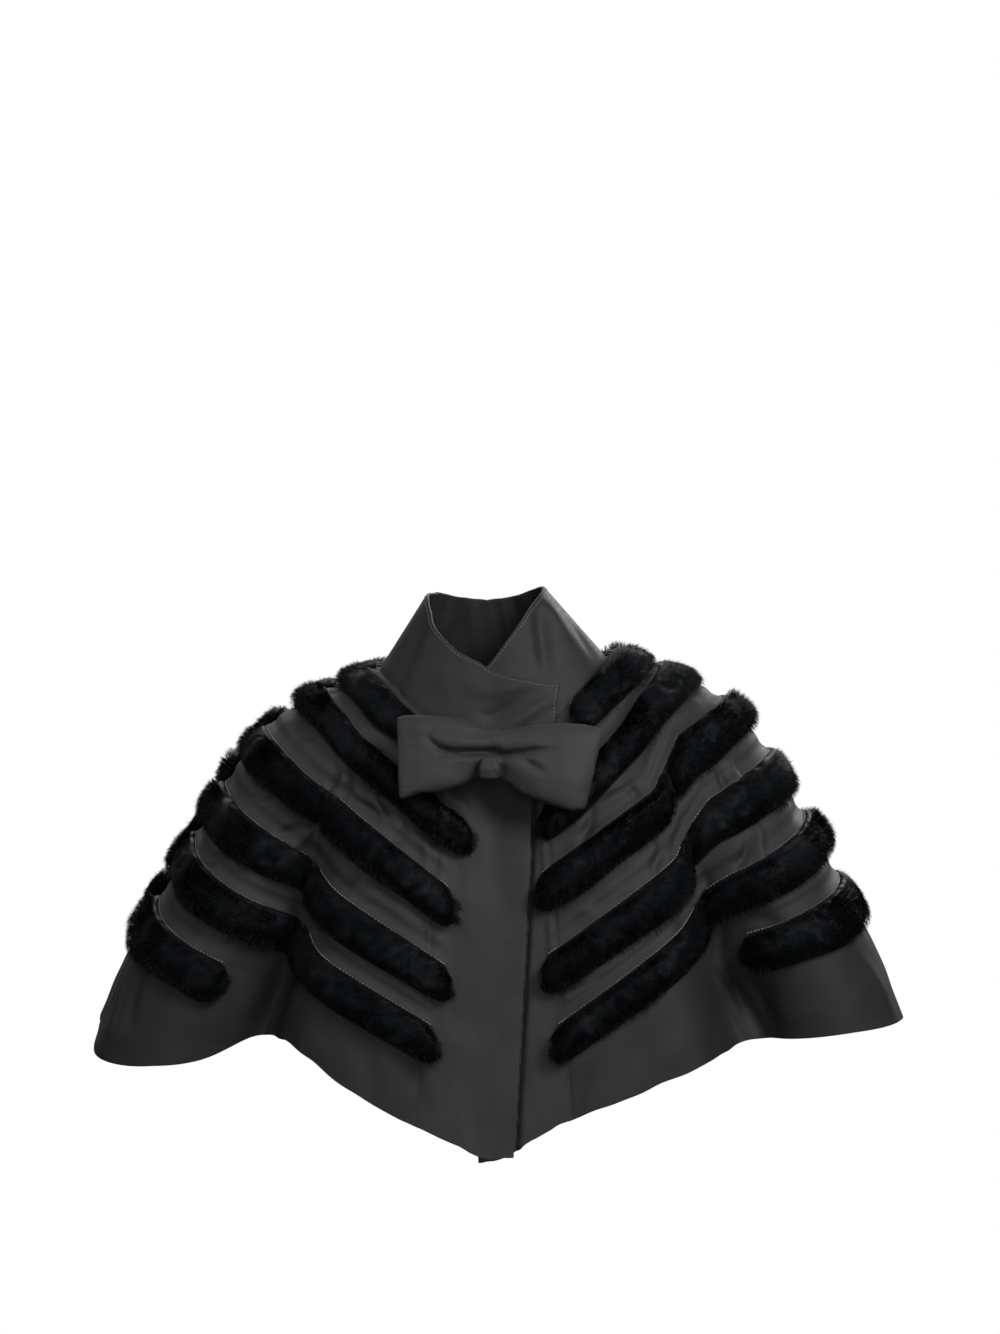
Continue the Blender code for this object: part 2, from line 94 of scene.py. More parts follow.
# Sections of the body from neck seam to hem, each at its distance down the shoulder line
Section = namedtuple(
    "Section",
    "along left_width right_width front_reach back_reach side_height right_fall front_drop back_drop",
)
SECTIONS = (
    Section(0.000, 0.099, 0.102, 0.080, 0.068, 0.005, 0.010, 0.097, 0.018),
    Section(0.040, 0.137, 0.136, 0.099, 0.092, -0.005, 0.015, 0.116, 0.032),
    Section(0.100, 0.191, 0.180, 0.122, 0.118, -0.028, 0.013, 0.140, 0.052),
    Section(0.162, 0.234, 0.218, 0.140, 0.138, -0.073, 0.005, 0.154, 0.062),
    Section(0.226, 0.266, 0.248, 0.153, 0.152, -0.129, 0.001, 0.161, 0.068),
    Section(0.293, 0.298, 0.281, 0.165, 0.166, -0.187, 0.000, 0.165, 0.074),
    Section(0.346, 0.326, 0.309, 0.174, 0.178, -0.234, 0.000, 0.168, 0.078),
    Section(0.430, 0.359, 0.344, 0.188, 0.196, -0.312, 0.000, 0.170, 0.084),
    Section(0.460, 0.370, 0.355, 0.193, 0.203, -0.340, 0.000, 0.171, 0.086),
)

# Folds of the drape: where round the body, how wide, how far out, and where they start and are full
Fold = namedtuple("Fold", "turn spread push starts full")
FOLDS = (
    Fold(-43.0, 8.0, -0.060, 0.090, 0.340),
    Fold(-65.0, 14.0, 0.024, 0.120, 0.400),
    Fold(44.0, 8.0, -0.056, 0.110, 0.360),
    Fold(67.0, 14.0, 0.018, 0.120, 0.400),
    Fold(-104.0, 11.0, 0.012, 0.130, 0.400),
    Fold(-128.0, 12.0, -0.026, 0.150, 0.420),
    Fold(-153.0, 12.0, 0.018, 0.160, 0.420),
    Fold(180.0, 12.0, -0.022, 0.160, 0.420),
    Fold(153.0, 12.0, 0.018, 0.160, 0.420),
    Fold(127.0, 12.0, -0.026, 0.150, 0.420),
    Fold(104.0, 11.0, -0.004, 0.130, 0.400),
)

# Stations round one half: 0 front edge, 1 placket seam, 2 deep fold, 3 side line, 4 centre back
Placket = namedtuple("Placket", "edge_at_neck edge_at_hem seam_at_neck seam_at_hem")
PLACKET = Placket(0.033, 0.015, 0.037, 0.065)
FRONT_LENGTH = 0.367
FOLD_ANGLE_NECK = 52.0
FOLD_ANGLE_HEM = 43.5
FOLD_ANGLE_SETTLES = 0.16
FOLD_REACH = 0.05
DEEP_FOLD = 2.0
SIDE_LINE = 3.0
CENTRE_BACK = 4.0

# Middle lines of the fur rows, as distances down from the neck seam: at the placket seam, on both sides
# of the deep fold, at the side line and round the back
Row = namedtuple("Row", "name front before_fold past_fold side back")
ROW_STATIONS = (1.0, 1.857, 2.167, 3.0)
FUR_ROWS = {
    RIGHT: (
        Row("a", 0.028, 0.027, 0.026, 0.024, 0.021),
        Row("b", 0.094, 0.087, 0.081, 0.069, 0.064),
        Row("c", 0.163, 0.155, 0.157, 0.145, 0.127),
        Row("d", 0.229, 0.229, 0.224, 0.211, 0.187),
        Row("e", 0.288, 0.289, 0.286, 0.262, 0.249),
        Row("f", 0.345, 0.350, 0.346, 0.318, 0.311),
    ),
    LEFT: (
        Row("a", 0.023, 0.021, 0.021, 0.021, 0.021),
        Row("b", 0.094, 0.079, 0.070, 0.064, 0.064),
        Row("c", 0.151, 0.149, 0.124, 0.127, 0.127),
        Row("d", 0.221, 0.212, 0.186, 0.187, 0.187),
        Row("e", 0.286, 0.268, 0.256, 0.249, 0.249),
        Row("f", 0.330, 0.320, 0.314, 0.311, 0.311),
    ),
}
LOWEST_ROW = "f"
Hem = namedtuple("Hem", "edge front drape fold rise flute crest side behind back")
HEM = {
    RIGHT: Hem(0.366, 0.3635, 0.3585, 0.379, 0.413, 0.427, 0.438, 0.428, 0.394, 0.386),
    LEFT: Hem(0.371, 0.3565, 0.369, 0.387, 0.396, 0.402, 0.415, 0.424, 0.394, 0.386),
}
HEM_STATIONS = (0.0, 1.0, 1.65, 2.0, 2.15, 2.3, 2.6, 3.0, 3.5, 4.0)

# How much lower or higher the soft hem hangs than its plain line, with a small ripple at the front
HEM_RIPPLE = 0.0015
RIPPLES = 9.0
RIPPLE_FADES = 1.5
RIPPLE_SEED = 13
Hang = namedtuple("Hang", "station lower")
HANG = {
    RIGHT: (
        Hang(0.0, -0.0016),
        Hang(1.0, 0.0003),
        Hang(1.2, 0.0035),
        Hang(1.4, 0.0064),
        Hang(1.6, 0.0006),
        Hang(1.7, -0.0012),
        Hang(1.8, 0.0025),
        Hang(1.9, 0.0068),
        Hang(2.0, 0.0000),
        Hang(2.06, -0.0030),
        Hang(2.15, 0.0000),
        Hang(4.0, 0.0000),
    ),
    LEFT: (
        Hang(0.0, -0.0010),
        Hang(1.0, 0.0000),
        Hang(1.2, 0.0025),
        Hang(1.4, 0.0030),
        Hang(1.6, 0.0024),
        Hang(1.8, 0.0004),
        Hang(1.92, 0.0026),
        Hang(2.06, -0.0008),
        Hang(2.15, 0.0000),
        Hang(4.0, 0.0000),
    ),
}

# Cloth panels between stations, with the flat size that each is cut to
Panel = namedtuple("Panel", "name side starts ends spans flat_width flat_length flat_area")
PANELS = (
    Panel("placket_right", RIGHT, 0.0, 1.0, 18, 0.090, 0.375, 0.0290),
    Panel("front_right", RIGHT, 1.0, 2.0, 60, 0.150, 0.395, 0.0435),
    Panel("side_right", RIGHT, 2.0, 3.0, 84, 0.270, 0.440, 0.0640),
    Panel("back", RIGHT, 3.0, 5.0, 116, 0.820, 0.420, 0.2420),
    Panel("side_left", LEFT, 2.0, 3.0, 84, 0.270, 0.430, 0.0625),
    Panel("front_left", LEFT, 1.0, 2.0, 60, 0.165, 0.390, 0.0485),
    Panel("placket_left", LEFT, 0.0, 1.0, 44, 0.085, 0.370, 0.0275),
)

# Fur strips: row and side, and the stations where their rounded ends lie; past 4 a strip goes on over
# the centre back to the other side line
Strip = namedtuple("Strip", "name row side starts ends")
STRIPS = (
    Strip("fur_a_right", "a", RIGHT, 1.30, 2.98),
    Strip("fur_b_right", "b", RIGHT, 0.64, 2.98),
    Strip("fur_c_right_front", "c", RIGHT, 0.78, 1.990),
    Strip("fur_c_right_side", "c", RIGHT, 2.010, 2.98),
    Strip("fur_d_right_front", "d", RIGHT, 0.75, 1.990),
    Strip("fur_d_right_side", "d", RIGHT, 2.010, 2.98),
    Strip("fur_e_right_front", "e", RIGHT, 0.85, 1.990),
    Strip("fur_e_right_side", "e", RIGHT, 2.010, 2.98),
    Strip("fur_f_right_side", "f", RIGHT, 2.167, 2.84),
    Strip("fur_a_left_back", "a", LEFT, 1.48, 4.98),
    Strip("fur_b_left_back", "b", LEFT, 0.91, 4.98),
    Strip("fur_c_left_front", "c", LEFT, 0.80, 1.990),
    Strip("fur_c_left_back", "c", LEFT, 2.010, 4.98),
    Strip("fur_d_left_front", "d", LEFT, 0.80, 1.990),
    Strip("fur_d_left_back", "d", LEFT, 2.010, 4.98),
    Strip("fur_e_left_front", "e", LEFT, 0.85, 1.990),
    Strip("fur_e_left_back", "e", LEFT, 2.010, 4.98),
    Strip("fur_f_left_back", "f", LEFT, 2.12, 4.98),
)

# Main creases of the panels: from one place to another, each a station and a distance down, then the
# half width and the depth, which is negative for a trough; each wavers a little along its way
CREASE_POINTS = 7
CREASE_WAVER = 0.0015
CREASE_WAVES = 5.0
CREASE_END = 0.08
CREASE_FADE = 0.7
Crease = namedtuple("Crease", "side around along to_around to_along width depth")
CREASES = (
    Crease(RIGHT, 1.99, 0.112, 2.01, 0.140, 0.0036, -0.0044),
    Crease(RIGHT, 1.92, 0.110, 1.94, 0.137, 0.0042, 0.0020),
    Crease(RIGHT, 1.83, 0.106, 1.85, 0.135, 0.0036, -0.0044),
    Crease(RIGHT, 1.78, 0.129, 1.46, 0.123, 0.0032, -0.0034),
    Crease(RIGHT, 1.62, 0.113, 1.44, 0.131, 0.0038, 0.0024),
    Crease(RIGHT, 1.54, 0.115, 1.38, 0.119, 0.0032, -0.0032),
    Crease(RIGHT, 1.28, 0.115, 1.36, 0.143, 0.0036, -0.0036),
    Crease(RIGHT, 1.16, 0.120, 1.06, 0.142, 0.0044, 0.0020),
    Crease(RIGHT, 1.08, 0.190, 1.04, 0.206, 0.0040, -0.0018),
    Crease(RIGHT, 2.15, 0.211, 2.03, 0.178, 0.0036, 0.0042),
    Crease(RIGHT, 2.10, 0.180, 2.20, 0.204, 0.0034, -0.0034),
    Crease(RIGHT, 1.53, 0.180, 1.65, 0.211, 0.0038, -0.0046),
    Crease(RIGHT, 1.40, 0.184, 1.50, 0.206, 0.0050, 0.0020),
    Crease(RIGHT, 1.70, 0.248, 1.82, 0.266, 0.0044, -0.0034),
    Crease(RIGHT, 2.34, 0.172, 2.46, 0.190, 0.0050, -0.0028),
    Crease(RIGHT, 2.32, 0.100, 2.46, 0.122, 0.0060, -0.0030),
    Crease(RIGHT, 2.40, 0.236, 2.54, 0.264, 0.0054, -0.0030),
    Crease(RIGHT, 2.63, 0.362, 2.53, 0.418, 0.0052, 0.0036),
    Crease(RIGHT, 2.52, 0.360, 2.44, 0.402, 0.0074, -0.0032),
    Crease(RIGHT, 2.76, 0.345, 2.72, 0.420, 0.0070, -0.0028),
    Crease(RIGHT, 2.02, 0.318, 2.03, 0.410, 0.0150, -0.0045),
    Crease(RIGHT, 1.07, 0.312, 0.95, 0.354, 0.0080, -0.0016),
    Crease(RIGHT, 1.30, 0.320, 1.22, 0.372, 0.0110, -0.0016),
    Crease(RIGHT, 1.80, 0.325, 1.76, 0.380, 0.0120, -0.0020),
    Crease(RIGHT, 0.45, 0.310, 0.40, 0.366, 0.0070, -0.0010),
    Crease(LEFT, 1.36, 0.108, 1.24, 0.136, 0.0042, -0.0032),
    Crease(LEFT, 1.44, 0.101, 1.80, 0.112, 0.0042, -0.0030),
    Crease(LEFT, 1.66, 0.112, 1.74, 0.132, 0.0040, -0.0034),
    Crease(LEFT, 1.80, 0.170, 1.68, 0.194, 0.0044, -0.0038),
    Crease(LEFT, 1.12, 0.176, 1.30, 0.200, 0.0050, 0.0020),
    Crease(LEFT, 1.86, 0.232, 1.76, 0.252, 0.0044, -0.0036),
    Crease(LEFT, 1.00, 0.238, 1.22, 0.247, 0.0036, -0.0022),
    Crease(LEFT, 2.40, 0.150, 2.37, 0.175, 0.0038, 0.0036),
    Crease(LEFT, 2.31, 0.149, 2.28, 0.174, 0.0036, -0.0040),
    Crease(LEFT, 2.36, 0.206, 2.30, 0.240, 0.0042, 0.0034),
    Crease(LEFT, 2.28, 0.214, 2.20, 0.236, 0.0040, -0.0046),
    Crease(LEFT, 2.05, 0.224, 2.06, 0.274, 0.0056, -0.0044),
    Crease(LEFT, 2.08, 0.275, 2.03, 0.318, 0.0056, -0.0040),
    Crease(LEFT, 2.18, 0.284, 2.30, 0.300, 0.0056, -0.0030),
    Crease(LEFT, 1.98, 0.313, 2.06, 0.390, 0.0028, 0.0032),
    Crease(LEFT, 2.02, 0.315, 2.08, 0.388, 0.0026, -0.0028),
    Crease(LEFT, 2.06, 0.318, 2.11, 0.386, 0.0028, 0.0028),
    Crease(LEFT, 2.08, 0.332, 2.09, 0.405, 0.0190, -0.0120),
    Crease(LEFT, 2.55, 0.350, 2.62, 0.412, 0.0100, 0.0024),
    Crease(LEFT, 1.40, 0.310, 1.30, 0.370, 0.0120, -0.0016),
    Crease(LEFT, 1.08, 0.320, 1.02, 0.362, 0.0060, -0.0014),
    Crease(RIGHT, 3.20, 0.335, 3.24, 0.395, 0.0100, -0.0026),
    Crease(RIGHT, 3.46, 0.150, 3.52, 0.172, 0.0048, -0.0026),
    Crease(RIGHT, 3.62, 0.208, 3.54, 0.236, 0.0050, -0.0028),
    Crease(RIGHT, 3.72, 0.086, 3.66, 0.108, 0.0044, -0.0022),
    Crease(RIGHT, 3.80, 0.272, 3.86, 0.300, 0.0050, -0.0028),
    Crease(RIGHT, 3.66, 0.340, 3.70, 0.384, 0.0110, 0.0024),
    Crease(LEFT, 3.18, 0.090, 3.26, 0.108, 0.0044, -0.0024),
    Crease(LEFT, 3.42, 0.208, 3.36, 0.234, 0.0050, -0.0028),
    Crease(LEFT, 3.60, 0.148, 3.68, 0.170, 0.0046, -0.0024),
    Crease(LEFT, 3.58, 0.338, 3.54, 0.388, 0.0100, -0.0026),
    Crease(LEFT, 3.84, 0.212, 3.78, 0.232, 0.0046, -0.0024),
    Crease(LEFT, 3.30, 0.272, 3.24, 0.302, 0.0052, -0.0026),
)

# Collar: a cone on the neck seam, cut along its upper edge
CollarTop = namedtuple("CollarTop", "half_width front back height shift tilt")
COLLAR_TOP = CollarTop(0.0500, 0.0450, 0.0480, 0.0680, -0.0085, 0.06)
CollarEdge = namedtuple("CollarEdge", "angle share")
COLLAR_EDGE = {
    RIGHT: (
        CollarEdge(-40.0, 0.18),
        CollarEdge(-17.0, 0.435),
        CollarEdge(2.0, 0.58),
        CollarEdge(22.0, 0.60),
        CollarEdge(36.0, 0.66),
        CollarEdge(54.0, 0.79),
        CollarEdge(78.0, 0.945),
        CollarEdge(100.0, 0.96),
        CollarEdge(130.0, 0.94),
        CollarEdge(158.0, 0.862),
        CollarEdge(180.0, 0.822),
    ),
    LEFT: (
        CollarEdge(-40.0, 0.15),
        CollarEdge(-20.0, 0.42),
        CollarEdge(0.0, 0.595),
        CollarEdge(23.0, 0.732),
        CollarEdge(41.0, 0.832),
        CollarEdge(58.0, 0.905),
        CollarEdge(84.0, 0.965),
        CollarEdge(104.0, 0.965),
        CollarEdge(135.0, 0.907),
        CollarEdge(155.0, 0.850),
        CollarEdge(180.0, 0.822),
    ),
}
COLLAR_END_TOP = -39.0
COLLAR_END_FOOT = -31.0
COLLAR_LEVELS = 26
COLLAR_COLUMNS = 90
COLLAR_CROWDING = 1.12
COLLAR_RUMPLE = 0.0004
COLLAR_RUMPLE_COLUMNS = 7.0
COLLAR_RUMPLES_UP = 4.0
COLLAR_RUMPLE_SEED = 21

# Where the collar's ends cross, as a share of its half length, and how much its creases flatten there
CROSSING_BEGINS = 0.80
CROSSING_FULL = 0.90
CROSSING_FLAT = 0.75

# Creases of the collar: angle from the front and height as a share, from one place to another
CollarCrease = namedtuple("CollarCrease", "side angle up to_angle to_up width depth")
COLLAR_CREASES = (
    CollarCrease(RIGHT, 5.0, 0.49, -25.0, 0.71, 0.0046, -0.0050),
    CollarCrease(RIGHT, 4.0, 0.30, -30.0, 0.52, 0.0068, 0.0036),
    CollarCrease(RIGHT, 14.0, 0.68, -22.0, 0.92, 0.0068, 0.0032),
    CollarCrease(RIGHT, 46.0, 0.30, 24.0, 0.66, 0.0120, 0.0012),
    CollarCrease(LEFT, 35.0, 0.42, 46.0, 0.90, 0.0068, -0.0052),
    CollarCrease(LEFT, 58.0, 0.40, 62.0, 0.92, 0.0090, 0.0030),
    CollarCrease(LEFT, 70.0, 0.14, 76.0, 0.50, 0.0060, -0.0018),
    CollarCrease(LEFT, 118.0, 0.10, 116.0, 0.96, 0.0040, 0.0030),
    CollarCrease(LEFT, 138.0, 0.15, 143.0, 0.96, 0.0042, -0.0034),
    CollarCrease(LEFT, 158.0, 0.05, 156.0, 0.98, 0.0036, 0.0034),
    CollarCrease(LEFT, 168.0, 0.25, 167.0, 0.98, 0.0030, -0.0024),
    CollarCrease(RIGHT, 170.0, 0.20, 168.0, 0.98, 0.0030, -0.0026),
    CollarCrease(RIGHT, 158.0, 0.15, 160.0, 0.98, 0.0036, 0.0030),
    CollarCrease(RIGHT, 146.0, 0.10, 148.0, 0.96, 0.0040, -0.0036),
    CollarCrease(RIGHT, 131.0, 0.15, 128.0, 0.98, 0.0042, 0.0036),
    CollarCrease(RIGHT, 114.0, 0.20, 116.0, 0.96, 0.0044, -0.0028),
)

# Bow: sections across it, with its upper and lower edge and how far it swells to front and back
BowSection = namedtuple("BowSection", "across top bottom front back slant")
BOW_SECTIONS = (
    BowSection(-0.0850, -0.0450, -0.1162, 0.0050, 0.0040, 0.0000),
    BowSection(-0.0836, -0.0440, -0.1170, 0.0085, 0.0060, 0.0000),
    BowSection(-0.0660, -0.0430, -0.1126, 0.0140, 0.0080, 0.0000),
    BowSection(-0.0484, -0.0440, -0.1118, 0.0160, 0.0090, 0.0000),
    BowSection(-0.0308, -0.0458, -0.1074, 0.0160, 0.0100, 0.0000),
    BowSection(-0.0176, -0.0500, -0.1020, 0.0125, 0.0160, 0.0000),
    BowSection(-0.0060, -0.0546, -0.0986, 0.0080, 0.0413, 0.0000),
    BowSection(0.0044, -0.0563, -0.1020, 0.0080, 0.0413, 0.0000),
    BowSection(0.0220, -0.0528, -0.1144, 0.0125, 0.0150, 0.0000),
    BowSection(0.0396, -0.0506, -0.1197, 0.0160, 0.0100, 0.0005),
    BowSection(0.0572, -0.0493, -0.1240, 0.0160, 0.0090, 0.0020),
    BowSection(0.0730, -0.0510, -0.1270, 0.0140, 0.0080, 0.0045),
    BowSection(0.0860, -0.0550, -0.1255, 0.0085, 0.0060, 0.0075),
    BowSection(0.0872, -0.0560, -0.1246, 0.0050, 0.0040, 0.0075),
)
BOW_SQUARE = 3.2
BOW_TOP_RISE = 0.0022
BOW_PLANE = -0.1260
BOW_TILT = 0.42
BOW_MIDDLE = -0.0750
BOW_RAISE = 0.0100
BOW_SHRINK = 0.0022
BOW_LEAST = 0.002
BOW_SIDES = 48
BOW_COLUMNS = 96
BOW_VOXEL = 0.0026
BOW_PRESSURE = 4.0
BOW_CAP = 0.0035
BOW_FRAMES = 20
BOW_RUMPLE = 0.0006
BOW_RUMPLE_SIZE = (0.016, 0.014)
BOW_RUMPLE_SHIFT = (9.0, 0.0)
BOW_RUMPLE_SEED = 31
BOW_FRONT_BEGINS = -0.1
BOW_FRONT_FULL = 0.35
BOW_CREASE_POINTS = 5

# The bow's one long fold, whose upper side hangs over the lower, and the small creases of its front
FoldPoint = namedtuple("FoldPoint", "across height depth")
BOW_FOLD = (
    FoldPoint(-0.0590, -0.0500, 0.0008),
    FoldPoint(-0.0522, -0.0565, 0.0034),
    FoldPoint(-0.0462, -0.0598, 0.0052),
    FoldPoint(-0.0368, -0.0622, 0.0064),
    FoldPoint(-0.0162, -0.0624, 0.0068),
    FoldPoint(0.0018, -0.0630, 0.0064),
    FoldPoint(0.0070, -0.0650, 0.0062),
    FoldPoint(0.0207, -0.0633, 0.0056),
    FoldPoint(0.0336, -0.0611, 0.0040),
    FoldPoint(0.0490, -0.0606, 0.0008),
)
BOW_FOLD_WIDTH = 0.0036
FoldSide = namedtuple("FoldSide", "reach ridge")
FOLD_ABOVE = FoldSide(0.45, 0.42)
FOLD_BELOW = FoldSide(1.30, 0.10)
FOLD_RIDGE_AT = 2.0
FOLD_RIDGE_WIDTH = 1.4
BowCrease = namedtuple("BowCrease", "across height to_across to_height width depth")
BOW_CREASES = (
    BowCrease(-0.0600, -0.0664, -0.0350, -0.0668, 0.0026, -0.0015),
    BowCrease(0.0225, -0.0690, 0.0420, -0.0800, 0.0032, -0.0034),
    BowCrease(-0.0150, -0.0680, -0.0120, -0.0850, 0.0042, -0.0026),
    BowCrease(0.0050, -0.0690, 0.0040, -0.0860, 0.0042, -0.0026),
    BowCrease(-0.0250, -0.0730, -0.0400, -0.0860, 0.0070, -0.0012),
    BowCrease(0.0120, -0.0770, 0.0300, -0.0990, 0.0070, -0.0012),
    BowCrease(-0.0140, -0.0450, -0.0060, -0.0540, 0.0070, -0.0012),
    BowCrease(-0.0740, -0.0440, -0.0560, -0.0460, 0.0090, 0.0009),
    BowCrease(-0.0700, -0.0900, -0.0480, -0.0780, 0.0110, 0.0010),
    BowCrease(0.0560, -0.0820, 0.0740, -0.0980, 0.0110, 0.0010),
)
Knot = namedtuple("Knot", "across height width tall deep plane")
KNOT = Knot(-0.0046, -0.0768, 0.0186, 0.0190, 0.0120, -0.1430)
KNOT_CUTS = 15
KNOT_SQUARE = 0.45
KNOT_ROUND = 0.62
Gather = namedtuple("Gather", "slope shift width height")
KNOT_GATHER = Gather(0.55, -0.25, 0.16, 0.10)
KNOT_SINK = 0.62
KNOT_FOOT = 0.98
KNOT_PINCH = 0.22

# Nap of the fur: its height over the cloth, flat in the middle and falling to both sides, and its ends,
# which are rounded or pressed into the deep fold
NAP_HEIGHT = 0.0170
NAP_FLAT = 0.0050
NAP_FALL = 0.0182
NAP_SHOULDER = 2.2
NAP_ROUND = 0.55
LEAST_NAP = 0.0030
FUR_BASE = 0.0155
FUR_END = 0.0200
FUR_END_OVER = 0.0016
FOLD_TIP = 0.0170
PRESSED_WIDTH = 0.84
PRESSED_HEIGHT = 0.45
UPPER_EDGE = -0.0168

# A strip's lower edge sways a little along its run
STRIP_SAMPLES = 400
WOBBLE = 0.0032
WOBBLE_LENGTH = 0.046
WOBBLE_BEGINS = -0.010
WOBBLE_FULL = 0.016
WOBBLE_SEED = 51

# Dark core under the hair
CORE_PROFILE = (-1.0, -0.92, -0.72, -0.4, 0.0, 0.4, 0.72, 0.92, 1.0)
CORE_HALF_WIDTH = 0.0190
CORE_NAP_WIDTH = 0.0212
CORE_SHARE = 0.76
CORE_SPAN = 0.006
CORE_LEAST_SPANS = 14
CORE_INSET = 0.002
CORE_FOOT = 0.0010
CORE_LUMP = 0.10
CORE_LUMP_LENGTH = 0.011
CORE_ROUGH = 0.20
CORE_SEED = 40

# Hair: strands to a square metre, their width and where they grow
HAIR_DENSITY_FRONT = 1.35e6
HAIR_DENSITY_BACK = 0.51e6
HAIR_WIDTH = 0.00042
HAIR_WIDTH_RANGE = (0.75, 1.25)
BACK_HAIR_WIDER = 1.6
ROOT_REACH = 0.0158
HAIR_SEED = 80

# Hair gathers in tufts, lies in slow flows and small partings, swells in lobes and is pressed in dents
TUFT = 0.0058
TUFT_PULL = 0.20
TUFT_SHIFT = 0.6
TUFT_LINES = 512
TUFT_COLUMNS = 16
STRIP_EDGE = 0.02
FLOW_LENGTH = 0.045
PARTING_LENGTH = 0.017
PARTING_WIDTH = 0.012
LOBE = 0.034
LOBE_CONTRAST = 1.7
DENT = 0.0065
DENT_EVERY = 0.062
DENT_COUNT = 64
PATCH = 0.024
PATCH_WIDTH = 0.016

# Hair tips: how far they lie past their roots, and what moves them
TIP_SPREAD = 1.16
LOBE_SPREAD = 0.24
DENT_SPREAD = 0.26
HAIR_LAY = 0.0036
LAY_SHARE = 0.60
PARTING_LAY = 0.30
FLOW_ACROSS = 0.0016
FLOW_ALONG = 0.0036
PARTING_ALONG = 0.0030
END_LEAN = 0.0075
LOOSE_ACROSS = 0.0009
LOOSE_ALONG = 0.0013
LOOSE_EDGE = 0.0004

# Hair heights: what makes a strand taller or lower than the nap
TUFT_RISE = 0.07
LOOSE_RISE = 0.045
LOBE_SWELL = 0.20
PARTING_RISE = 0.05
DENT_SINK = 0.26
STRAY_FROM = 0.97
STRAY_RISE = 0.13

# A hair's blade: its foot, bend and tip as shares of its height, and its narrowing
BLADE_FOOT = 0.30
BLADE_BEND = 0.80
BLADE_BEND_NAP = 0.82
BLADE_BEND_CAP = 1.02
BLADE_TIP = 0.985
BEND_ACROSS = 0.35
BEND_ALONG = 0.40
BEND_WIDTH = 0.84
BLADE_TWIST = 0.001
TIP_NAP = 0.90
LEAST_SHARE = 0.3

# A hair is lit as part of the nap: it faces away from the strip's heart, some way along itself, and by chance
HEART_ACROSS = 0.30
FACING_TIP = 0.35
FACING_LOOSE = 0.32

# A hair's tone: how dark it is in general, what lightens it, painted shade on the strip's lit crown and
# painted light toward its shaded edges, and how it pales from foot to tip
TONE_LEAST = 0.22
TONE_TUFT = 0.12
TONE_BRUSHED = 0.62
BRUSHED_BEGINS = 0.15
BRUSHED_FULL = 0.85
TONE_LOOSE = 0.06
CROWN_PAINTED_DARK = 0.50
EDGE_PAINTED_LIGHT = 0.90
BLADE_TONES = (0.3, 0.3, 0.7, 0.7, 1.1)

# Stitches
STITCH = 0.0027
STITCH_GAP = 0.0007
STITCH_SIDES = 5
STITCH_OUT = 0.0002
THREAD = 0.00042
COLLAR_THREAD = 0.00026
COLLAR_EDGE_INSET = 0.0032
LIP_STITCH_ABOVE = 0.0010
LIP_STITCH_END = 0.009


def smooth(position, stations, values):
    """Values of a smooth curve through the stations."""
    position = np.asarray(position, float)
    stations = np.asarray(stations, float)
    values = np.asarray(values, float)
    slopes = np.gradient(values, stations)
    low = np.clip(np.searchsorted(stations, position) - 1, 0, len(stations) - 2)
    span = stations[low + 1] - stations[low]
    t = np.clip((position - stations[low]) / span, 0.0, 1.0)
    rise = t * t * (3.0 - 2.0 * t)
    first = values[low] * (1.0 - rise) + values[low + 1] * rise
    return first + span * t * (1.0 - t) * (slopes[low] * (1.0 - t) - slopes[low + 1] * t)


def step(value, begins, full):
    """0 before it begins, 1 once it is full, and a soft rise between."""
    t = np.clip((value - begins) / (full - begins), 0.0, 1.0)
    return t * t * (3.0 - 2.0 * t)


def between(first, last, share):
    return first + (last - first) * share


def unit(vectors):
    return vectors / np.maximum(np.linalg.norm(vectors, axis=-1, keepdims=True), 1e-12)


def noise(across, down, seed):
    """Soft seeded noise between -1 and 1 over a plane."""
    size = 64
    table = np.random.default_rng(seed).uniform(-1.0, 1.0, (size, size))
    column = np.floor(across).astype(int)
    line = np.floor(down).astype(int)
    right = step(across - column, 0.0, 1.0)
    below = step(down - line, 0.0, 1.0)
    near = column % size
    after = (column + 1) % size
    upper, lower = (
        table[level % size, near] * (1 - right) + table[level % size, after] * right
        for level in (line, line + 1)
    )
    return upper * (1.0 - below) + lower * below


def sections_at(along):
    columns = list(zip(*SECTIONS))
    return Section(along, *(smooth(along, columns[0], column) for column in columns[1:]))


def ring(along, turn):
    """Points of the draped body; turn is in radians from the front, positive to the wearer's left."""
    size = sections_at(along)
    sideways = np.sin(turn)
    forward = np.cos(turn)
    half_width = np.where(sideways > 0, size.left_width, size.right_width)
    reach = np.where(forward > 0, size.front_reach, size.back_reach)
    front = size.front_drop * (1.0 - np.hypot(sideways, BLUNT * np.abs(forward)))
    drop = np.where(forward > 0, front, size.back_drop * forward ** 2)
    drop = drop + size.right_fall * np.maximum(0.0, -sideways) ** 2
    points = np.stack((half_width * sideways, -reach * forward, size.side_height - drop), axis=-1)
    outward = unit(np.stack((sideways / half_width, -forward / reach, np.zeros_like(drop)), axis=-1))
    push = np.zeros_like(drop)
    for fold in FOLDS:
        apart = (np.degrees(turn) - fold.turn + 180.0) % 360.0 - 180.0
        push += fold.push * np.exp(-((apart / fold.spread) ** 2)) * step(along, fold.starts, fold.full)
    return points + outward * push[..., None]


def normals_of(place, first, second):
    """Outward normals of a surface of two numbers, from points close by."""
    small = 1e-4
    across = place(first, second + small) - place(first, second - small)
    down = place(first + small, second) - place(first - small, second)
    return unit(np.cross(across, -down))


